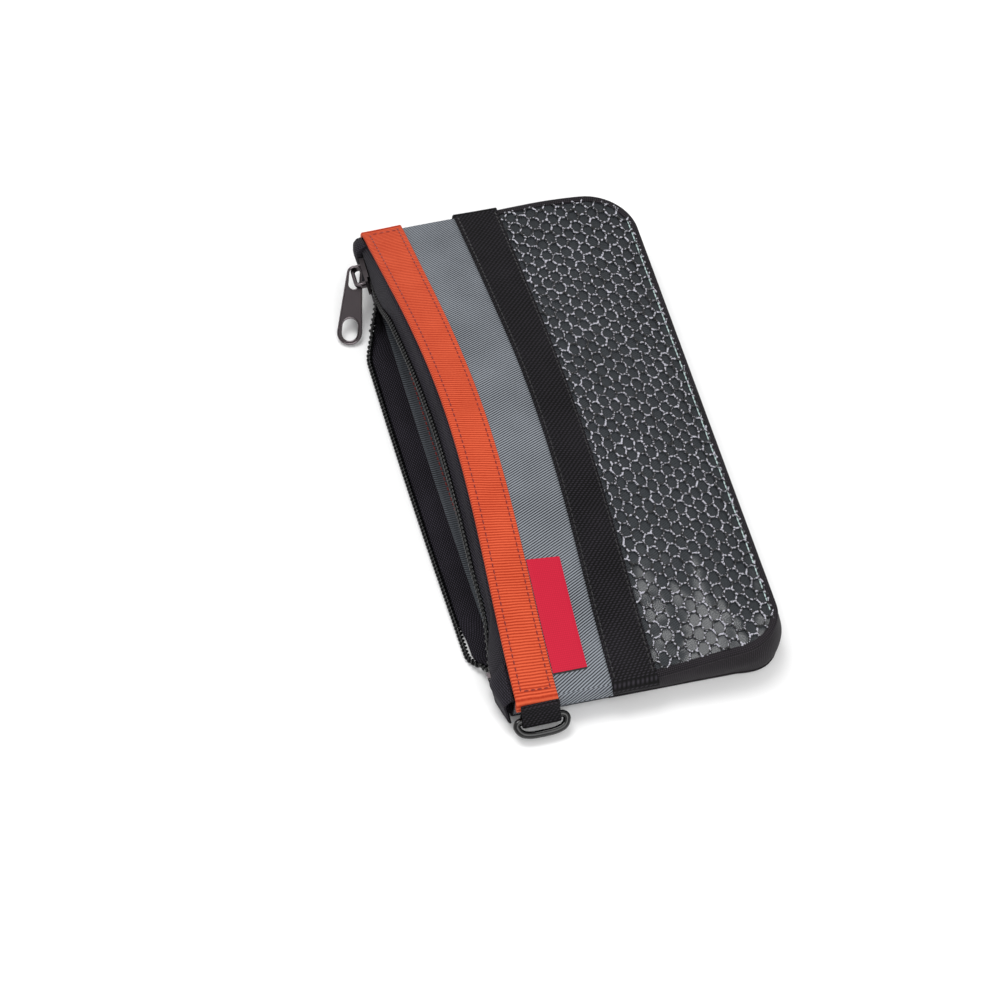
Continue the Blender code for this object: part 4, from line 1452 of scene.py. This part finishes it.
def upperCoil(y):
    drop = mix(zipSize["dropEnds"], zipSize["dropArched"], archShare((y + halfLength) / bag["length"]))
    drop = math.radians(drop)
    x, z, slope = frontAt(frontDepth, y)
    free = Vector((x, y, z)) + Vector((-math.cos(drop), 0, -math.sin(drop))) * zipSize["reach"]
    return free.lerp(chainPoint(y) + chainUp * coilOffset(y), closedShare(y, 1))


def lowerCoil(y):
    free = Vector((lipX(y) - zipSize["lowerReach"], y, zipSize["coil"]))
    return free.lerp(chainPoint(y) - chainUp * coilOffset(y), closedShare(y, -1))


def tapeRow(start, edge, coilPoint, side, y, reachIn):
    centre = coilPoint(y)
    nudge = zipSize["coil"]
    along = (coilPoint(y + nudge) - coilPoint(y - nudge)).normalized()
    closed = closedShare(y, side)
    reach = zipSize["sliderWidth"] / 2 + bag["gap"] - coilOffset(y)
    reach = min(reach, abs((edge - centre).dot(chainUp)) * zipSize["kneeShare"])
    knee = centre + chainUp * side * max(reach, tapeToCoil + zipSize["coilGap"])
    towards = (centre - edge).normalized().lerp(chainUp * -side, closed)
    towards = (towards - along * towards.dot(along)).normalized()
    end = centre - towards * reachIn
    return [start, edge, edge.lerp(end, 0.5).lerp(knee, closed), end]


def upperTapeRow(y, reachIn=tapeToCoil):
    under = zipSize["tape"] + bag["gap"]
    found = []
    for reach in (frontDepth - bag["seam"], frontDepth):
        x, z, slope = frontAt(reach, y)
        found.append(Vector((x - under * math.sin(slope), y, z - under * math.cos(slope))))
    return tapeRow(found[0], found[1], upperCoil, 1, y, reachIn)


def lowerTapeRow(y, reachIn=tapeToCoil):
    height = back["thick"] + bag["gap"]
    start = Vector((lipX(y) + bag["seam"], y, height))
    edge = Vector((lipX(y), y, height))
    return tapeRow(start, edge, lowerCoil, -1, y, reachIn)


def stoodOff(points, distance):
    moved = []
    for i, point in enumerate(points):
        ahead = points[min(i + 1, len(points) - 1)] - points[max(i - 1, 0)]
        square = Vector((ahead.z, 0, -ahead.x)).normalized()
        moved.append(point + square * distance)
    return moved


def makeTape(name, rowAt, side, node):
    low = frontY(frontDepth, -1) + zipSize["tapeEnd"]
    high = frontY(frontDepth, 1) - zipSize["tapeEnd"]
    rings, stations = [], []
    for y in spread(low, high, zipSize["tapeRows"]):
        reachIn = mix(tapeToCoil, zipSize["sewnIn"], freeShare(y, side))
        line = splineThrough(rowAt(y, reachIn), zipSize["tapeColumns"])
        under = stoodOff(line, -zipSize["tapeUnder"])
        top = stoodOff(line, zipSize["tape"] - zipSize["tapeSink"])
        # it thins under the coil, with a wale in every other column
        for i in range(zipSize["thinFrom"], zipSize["tapeColumns"]):
            thin = zipSize["thin"] + zipSize["wale"] / zipSize["tape"] * (-1) ** i
            top[i] = top[i].lerp(under[i], thin)
        rings.append(under + top[::-1])
        stations.append(y)
    addPiece(name, meshFromLoft(name, rings, stations), zipTape, "bag", [node], 70)


def makeCoil(name, coilPoint, side, node):
    low, high = nearChainStop, farChainY
    steps = zipSize["wireSteps"]
    count = int((high - low) / zipSize["wirePitch"] * steps)
    radius = zipSize["coil"] - zipSize["wire"]
    line, coreLine = [], []
    for i in range(count + 1):
        y = mix(low, high, i / count)
        centre = coilPoint(y)
        ahead = (coilPoint(y + 1 * mm) - coilPoint(y - 1 * mm)).normalized()
        rowEnd = (upperTapeRow if side > 0 else lowerTapeRow)(y)[-1]
        out = (centre - rowEnd).normalized()
        out = (out - ahead * out.dot(ahead)).normalized()
        up = out.cross(ahead)
        if up.dot(Vector((-0.6, 0, 0.8))) < 0:  # the face that looks out of the mouth
            up = -up
        coreLine.append(centre + up * zipSize["coilStand"] * freeShare(y, side))
        turn = 2 * math.pi * i / steps + (math.pi if side > 0 else 0)
        tall = mix(zipSize["freeTall"], zipSize["closedTall"], closedShare(y, side)) * radius
        line.append(coreLine[-1] + out * math.cos(turn) * radius + up * math.sin(turn) * tall)
    rings = []
    for i, point in enumerate(line):
        ahead = (line[min(i + 1, count)] - line[max(i - 1, 0)]).normalized()
        along = Vector((0, 1, 0))
        first = (along - ahead * along.dot(ahead)).normalized()
        rings.append(circleRound(point, first, ahead.cross(first), zipSize["wire"], zipSize["wireSides"]))
    wire = meshFromLoft(name, rings, stationsOf(rings))
    coreLine = coreLine[::steps]
    core = meshFromLoft(name, tubeRings(coreLine, zipSize["core"], 6), [p.y for p in coreLine])
    joined = joinMeshes(name, [wire, core])
    addPiece(name, joined, nylonCoil, "bag", [node], 70)


tab = {
    "rows": 22,
    "columns": 24,
    "solidShare": 0.16,  # of its length, where the tape is turned in and looks solid
    "fold": 0.25 * mm,
    "foldSize": 4 * mm,
    "farOver": 4.6 * mm,
    "farPuff": 2 * mm,
    "nearPuff": 0.6 * mm,
    "innerLow": 0.9 * mm,  # its two faces lie on the table at these heights
    "outerLow": 0.3 * mm,
}


def makeTab(name, low, high, node, puff, mouthEnd):
    rings, stations = [], []
    for share in spread(0, 1, tab["rows"] + 1):
        y = mix(low, high, share)
        line = splineThrough(upperTapeRow(y)[1:] + lowerTapeRow(y)[1:][::-1], tab["columns"])
        ways = [far - point for far, point in zip(stoodOff(line, 1.0), line)]
        full = math.sin(math.pi * mix(0.14, 0.86, share)) ** 0.5
        fromMouth = share if mouthEnd < 0 else 1 - share
        loose = smooth(fromMouth / tab["solidShare"])
        inner, outer = [], []
        for j, point in enumerate(line):
            swell = puff * full * math.sin(math.pi * j / (tab["columns"] - 1)) ** 0.8
            away = zipSize["tape"] + 2 * bag["gap"] + swell
            fold = tab["fold"] * noise.noise(Vector((j * 0.35, y / tab["foldSize"], 6.6)))
            close = point + ways[j] * away * mix(0.25, 1, loose)
            over = point + ways[j] * (away + zipSize["tabCloth"] * mix(0.5, 1, loose) + fold)
            close.z = max(close.z, tab["innerLow"])
            over.z = max(over.z, tab["outerLow"])
            inner.append(close)
            outer.append(over)
        rings.append(outer + inner[::-1])
        stations.append(y)
    addPiece(name, meshFromLoft(name, rings, stations), zipTape, "bag", [node], 75)


makeTape("upper_zip_tape", upperTapeRow, 1, "zip_tape_upper")
makeTape("lower_zip_tape", lowerTapeRow, -1, "zip_tape_lower")
makeCoil("upper_wound_coil", upperCoil, 1, "zip_coil_upper")
makeCoil("lower_wound_coil", lowerCoil, -1, "zip_coil_lower")
farTabStart = farTabEnd - zipSize["farTab"] - tab["farOver"]
nearTabStart = nearTabEnd + zipSize["nearTab"]
makeTab("far_zip_tab", farTabStart, farTabEnd, "zip_end_tab_far", tab["farPuff"], -1)
makeTab("near_zip_tab", nearTabEnd, nearTabStart, "zip_end_tab_near", tab["nearPuff"], 1)
print("zip tapes, coils and tabs made")

# The slider's body and the stops keep their CAD shape, with cast edges; crown and pull are made anew

castEdge = {"width": 0.28 * mm, "segments": 2, "angle": 35}
for nodeName in ("slider_body", "zip_bottom_stop", "zip_top_stop_upper", "zip_top_stop_lower"):
    node = frame["nodes"][nodeName]
    for materialSlot in node.material_slots:
        materialSlot.material = blackNickel
    edge = node.modifiers.new("cast_edges", "BEVEL")
    edge.width = castEdge["width"]
    edge.segments = castEdge["segments"]
    edge.limit_method = "ANGLE"
    edge.angle_limit = math.radians(castEdge["angle"])
    edge.harden_normals = False

pull = {
    "length": 38.2 * mm,
    "top": 7.4 * mm,
    "foot": 12 * mm,
    "thick": 1.6 * mm,
    "rim": 1.2 * mm,
    "eyeWidth": 5 * mm,
    "eyeLength": 10.2 * mm,
    "holeWidth": 7.4 * mm,
    "holeLength": 10.8 * mm,
    "holeRim": 1.9 * mm,
    "fall": 31.0,
    "turn": 19.0,
    "slide": 0.3 * mm,
    "hang": 0.3 * mm,
    "bevel": 0.3 * mm,
    "recess": 0.3 * mm,
    "lipWidth": 0.75 * mm,
    "crownGap": 3.4 * mm,
    "crownBar": 1.4 * mm,
    "seatGap": 0.3 * mm,
    "webInset": 0.2 * mm,
    "webBevel": 0.1 * mm,
    "eyeBevel": 0.22 * mm,
    "eyeLipShare": 0.8,
}
plateTop = zipSize["coil"] + zipSize["clearance"] + zipSize["sliderPlate"]


def zipFrame(y):
    x = (sliderEnd - sliderRest).normalized()
    yAxis = (chainUp - x * chainUp.dot(x)).normalized()
    found = Matrix((x, yAxis, x.cross(yAxis))).transposed().to_4x4()
    found.translation = chainPoint(y)
    return found


crown = {
    "length": 12.8 * mm,
    "width": 3.3 * mm,
    "bar": 1.9 * mm,
    "corner": 2.4 * mm,
    "rise": 0.2 * mm,
    "sunk": 0.1 * mm,
    "footSpread": 0.35,  # the feet widen where they meet the plate
    "sides": 20,
}


def makeCrown():
    low = plateTop - crown["sunk"]
    high = plateTop + pull["seatGap"] + pull["crownGap"] + pull["crownBar"] / 2 + crown["rise"]
    half = crown["length"] / 2 - crown["bar"] / 2
    corner = crown["corner"]
    path = [(-half, z) for z in spread(low, high - corner, 5)]
    path += arcPoints((-half + corner, high - corner), corner, 180, 90, 9)[1:]
    path += [(x, high) for x in spread(-half + corner, half - corner, 7)[1:]]
    path += arcPoints((half - corner, high - corner), corner, 90, 0, 9)[1:]
    path += [(half, z) for z in spread(high - corner, low, 5)[1:]]
    place = zipFrame(sliderY)
    rings = []
    for i, (x, z) in enumerate(path):
        ahead = Vector(path[min(i + 1, len(path) - 1)]) - Vector(path[max(i - 1, 0)])
        square = Vector((-ahead.y, ahead.x)).normalized()
        fromTop = abs(i / (len(path) - 1) - 0.5) * 2
        half = crown["width"] / 2 * (1 + crown["footSpread"] * fromTop**4)
        ring = []
        for k in range(crown["sides"]):
            turn = 2 * math.pi * k / crown["sides"]
            wide = squarer(math.cos(turn), 0.6) * half
            deep = squarer(math.sin(turn), 0.7) * crown["bar"] / 2
            ring.append(place @ Vector((x + square.x * deep, wide, z + square.y * deep)))
        rings.append(ring)
    mesh = meshFromLoft("cast_crown", rings, stationsOf(rings))
    addPiece("cast_crown", mesh, polishedNickel, "slider", ["slider_crown"], 60)


def pullFrame():
    bridge = zipFrame(sliderY)
    rise = plateTop + pull["seatGap"] + pull["crownGap"] + pull["crownBar"] / 2
    bridge.translation = bridge @ Vector((0, 0, rise))
    worldUp = Vector((0, 0, 1))
    travel = bridge.to_3x3().col[0]
    level = worldUp.cross(travel).normalized()
    ahead = level.cross(worldUp)
    turn, fall = math.radians(pull["turn"]), math.radians(pull["fall"])
    flat = ahead * math.cos(turn) - level * math.sin(turn)
    along = flat * math.cos(fall) - worldUp * math.sin(fall)
    across = along.cross(worldUp).normalized()
    found = Matrix((across, along, across.cross(along))).transposed().to_4x4()
    found.translation = bridge.translation + travel * pull["slide"] + across * pull["hang"]
    return found


def arcPoints(centre, radius, start, end, count):
    found = []
    for turn in spread(math.radians(start), math.radians(end), count):
        found.append((centre[0] + radius * math.cos(turn), centre[1] + radius * math.sin(turn)))
    return found


def pullOutline(inset):
    head = -pull["eyeLength"] / 2 - pull["rim"]
    foot = head + pull["length"]
    top, low = pull["top"] / 2, pull["foot"] / 2
    outline = arcPoints((0, head + top), top - inset, 180, 360, 24)
    return outline + arcPoints((0, foot - low), low - inset, 0, 180, 24)


def slotOutline(centre, width, length, grow=0.0):
    reach = (length - width) / 2
    top = arcPoints((0, centre + reach), width / 2 + grow, 0, 180, 18)
    foot = arcPoints((0, centre - reach), width / 2 + grow, 180, 360, 18)
    return top + foot


def plateMesh(name, outlines, thick, bevel):
    curve = bpy.data.curves.new(name, "CURVE")
    curve.dimensions = "2D"
    curve.fill_mode = "BOTH"
    curve.extrude = thick / 2 - bevel
    curve.bevel_depth = bevel
    curve.bevel_resolution = 2
    curve.offset = -bevel
    for outline in outlines:
        line = curve.splines.new("POLY")
        line.points.add(len(outline) - 1)
        for point, place in zip(line.points, outline):
            point.co = (place[0], place[1], 0, 1)
        line.use_cyclic_u = True
    holder = bpy.data.objects.new(name, curve)
    bpy.context.scene.collection.objects.link(holder)
    bpy.context.view_layer.update()
    shown = holder.evaluated_get(bpy.context.evaluated_depsgraph_get())
    mesh = bpy.data.meshes.new_from_object(shown)
    bpy.data.objects.remove(holder)
    while mesh.uv_layers:
        mesh.uv_layers.remove(mesh.uv_layers[0])
    return mesh


def makePull():
    foot = -pull["eyeLength"] / 2 - pull["rim"] + pull["length"]
    eye = (0, pull["eyeWidth"], pull["eyeLength"])
    hole = (foot - pull["holeRim"] - pull["holeLength"] / 2, pull["holeWidth"], pull["holeLength"])
    inset, lipWidth = pull["webInset"], pull["lipWidth"]
    web = [pullOutline(inset), slotOutline(*eye, inset), slotOutline(*hole, inset)]
    edge = [pullOutline(0), pullOutline(lipWidth)]
    eyeRim = [slotOutline(*eye, lipWidth * pull["eyeLipShare"]), slotOutline(*eye)]
    holeRim = [slotOutline(*hole, lipWidth), slotOutline(*hole)]
    meshes = [
        plateMesh("pull_web", web, pull["thick"] - 2 * pull["recess"], pull["webBevel"]),
        plateMesh("pull_rim", edge, pull["thick"], pull["bevel"]),
        plateMesh("pull_eye_rim", eyeRim, pull["thick"], pull["eyeBevel"]),
        plateMesh("pull_hole_rim", holeRim, pull["thick"], pull["bevel"]),
    ]
    place = Matrix.Translation(bagPlace) @ pullFrame()
    for mesh in meshes:
        mesh.transform(place)
    addPiece("cast_pull", meshes[0], blackNickel, "pull", ["pull_tab"], 35)
    rims = joinMeshes("pull_rims", meshes[1:])
    addPiece("pull_rims", rims, polishedNickel, "pull", (), 35)


makeCrown()
makePull()
print("slider, stops and pull made")

# Ring and its webbing


def ringLine():
    half = ringSize["webbing"] / 2 + ringSize["sideGap"] + ringSize["bar"] / 2
    corner = ringSize["corner"]
    barEnd = half - corner
    points = [(share * barEnd, 0) for share in (-0.6, -0.2, 0.2, 0.6)]
    points += arcPoints((barEnd, corner), corner, -90, 0, 9)
    for turn in spread(0, math.pi, 41):
        x = squarer(math.cos(turn), 2 / ringSize["fullness"])
        reach = math.sin(turn) ** (2 / ringSize["fullness"]) * ringSize["bow"]
        if reach > corner:
            points.append((x * half, reach))
    points += arcPoints((-barEnd, corner), corner, 180, 270, 9)
    return points


def makeRing():
    droop = math.radians(ringSize["droop"])
    out = Vector((0, -math.cos(droop), -math.sin(droop)))
    normal = Vector((1, 0, 0)).cross(out)
    line = [ringCentre + Vector((x, 0, 0)) + out * reach for x, reach in ringLine()]
    rings = []
    for i, point in enumerate(line):
        behind = (point - line[i - 1]).normalized()
        ahead = (line[(i + 1) % len(line)] - point).normalized()
        side = (behind + ahead).normalized().cross(normal)
        rings.append(circleRound(point, side, normal, ringSize["bar"] / 2, ringSize["sides"]))
    stations = stationsOf(rings) + [ringSize["girth"]]
    mesh = meshFromLoft("moulded_ring", rings, stations, closedAlong=True)
    addPiece("moulded_ring", mesh, blackAcetal, "ring", ["d_ring"])


loop = {
    "thick": 1.2 * mm,
    "barGap": 0.4 * mm,
    "rootHeight": 17 * mm,
    "sewn": 0.45,
    "rib": 0.14 * mm,
    "ribPitch": 1.3 * mm,
    "step": 0.3 * mm,
}


def makeLoop():
    faceY = ringSeamY - bandLift - orangeRibs["thick"] - bag["gap"]
    bar = Vector((ringCentre.y, ringCentre.z))
    root = Vector((faceY - loop["thick"], loop["rootHeight"]))
    ahead = (bar - root).normalized()
    side = Vector((-ahead.y, ahead.x))
    wrap = ringSize["bar"] / 2 + loop["barGap"] + loop["thick"] / 2
    apart = loop["thick"] / 2 + loop["barGap"] / 2
    waist = root.lerp(bar, loop["sewn"])
    shares = spread(0, 1, 9)
    middle = [root.lerp(waist, share) + side * apart for share in shares]
    for share in shares[1:]:
        middle.append((waist + side * apart).lerp(bar + side * wrap, smooth(share)))
    for turn in spread(math.pi / 2, -math.pi / 2, 21)[1:-1]:
        middle.append(bar + (side * math.sin(turn) + ahead * math.cos(turn)) * wrap)
    for share in reversed(shares):
        middle.append((waist - side * apart).lerp(bar - side * wrap, smooth(share)))
    for share in shares[-2::-1]:
        middle.append(root.lerp(waist, share) - side * apart)
    fine = []
    for a, b in zip(middle, middle[1:]):
        steps = max(int((b - a).length / loop["step"]), 1)
        fine += [a.lerp(b, i / steps) for i in range(steps)]
    fine.append(middle[-1])
    rings, stations, travelled = [], [], 0.0
    half = ringSize["webbing"] / 2
    for i, point in enumerate(fine):
        onward = fine[min(i + 1, len(fine) - 1)]
        way = (onward - fine[max(i - 1, 0)]).normalized()
        square = Vector((-way.y, way.x))
        rib = loop["rib"] * (abs(math.sin(math.pi * travelled / loop["ribPitch"])) - 1)
        thick = loop["thick"] / 2 + rib
        ring = []
        for angle in spread(0, 2 * math.pi, 41)[:-1]:
            place = point + square * squarer(math.sin(angle), 0.55) * thick
            ring.append(Vector((ringX + squarer(math.cos(angle), 0.35) * half, place.x, place.y)))
        rings.append(ring)
        stations.append(travelled)
        travelled += (onward - point).length
    mesh = meshFromLoft("ring_webbing", rings, stations)
    addPiece("ring_webbing", mesh, blackWebbing, "bag", ["d_ring_loop"], 80)


makeRing()
makeLoop()
print("ring and webbing made")

# Floor, lights and camera

studio = {
    "floorSize": 8.0,
    "floorColour": "#f6f6f6",
    "floorRoughness": 0.9,
    "floorDrop": 0.3 * mm,
    "worldColour": "#ffffff",
    "worldStrength": 0.62,
    "keyPlace": (-0.3, 0.6, 1.85),
    "keySize": 1.1,
    "keyPower": 22,
    "fillPlace": (0.2, -1.3, 1.3),
    "fillSize": 1.4,
    "fillPower": 17,
}
photoView = {
    "azimuth": -15.0,
    "elevation": 52.0,
    "distance": 3.0,
    "lens": 231.7,
    "sensor": 36,
    "target": (3.0 * mm, -2.3 * mm, 12 * mm),
    "shiftRight": -35.9 * mm,
    "shiftUp": -22.84 * mm,
}


def makeStudio():
    half = studio["floorSize"] / 2
    mesh = bpy.data.meshes.new("studio_floor")
    low = -studio["floorDrop"]
    corners = [(-half, -half, low), (half, -half, low), (half, half, low), (-half, half, low)]
    mesh.from_pydata(corners, [], [(0, 1, 2, 3)])
    paper, tree, shader = newMaterial(
        "white_backdrop_paper",
        {"Base Color": linearColour(studio["floorColour"]), "Roughness": studio["floorRoughness"]},
    )
    mesh.materials.append(paper)
    floor = bpy.data.objects.new("studio_floor", mesh)
    bpy.context.scene.collection.objects.link(floor)
    world = bpy.data.worlds.new("studio")
    world.use_nodes = True
    background = world.node_tree.nodes["Background"]
    background.inputs["Color"].default_value = linearColour(studio["worldColour"])
    background.inputs["Strength"].default_value = studio["worldStrength"]
    bpy.context.scene.world = world
    for name, place, size, power in (
        ("key", studio["keyPlace"], studio["keySize"], studio["keyPower"]),
        ("fill", studio["fillPlace"], studio["fillSize"], studio["fillPower"]),
    ):
        lamp = bpy.data.lights.new(name, "AREA")
        lamp.size = size
        lamp.energy = power
        holder = bpy.data.objects.new(name, lamp)
        holder.location = place
        holder.rotation_euler = (-Vector(place)).to_track_quat("-Z", "Y").to_euler()
        bpy.context.scene.collection.objects.link(holder)


def makeCamera():
    az, el = math.radians(photoView["azimuth"]), math.radians(photoView["elevation"])
    backward = Vector((math.sin(az) * math.cos(el), -math.cos(az) * math.cos(el), math.sin(el)))
    right = Vector((math.cos(az), math.sin(az), 0))
    up = backward.cross(right)
    lens = bpy.data.cameras.new("camera")
    lens.lens = photoView["lens"]
    lens.sensor_width = photoView["sensor"]
    camera = bpy.data.objects.new("camera", lens)
    place = Vector(photoView["target"]) + bagPlace + backward * photoView["distance"]
    place += right * photoView["shiftRight"] + up * photoView["shiftUp"]
    turned = Matrix((right, up, backward)).transposed().to_4x4()
    camera.matrix_world = Matrix.Translation(place) @ turned
    bpy.context.scene.collection.objects.link(camera)
    bpy.context.scene.camera = camera


makeStudio()
makeCamera()
# shows the white paper as white and the colours as they were set
bpy.context.scene.view_settings.view_transform = "Standard"
print("studio and camera made")
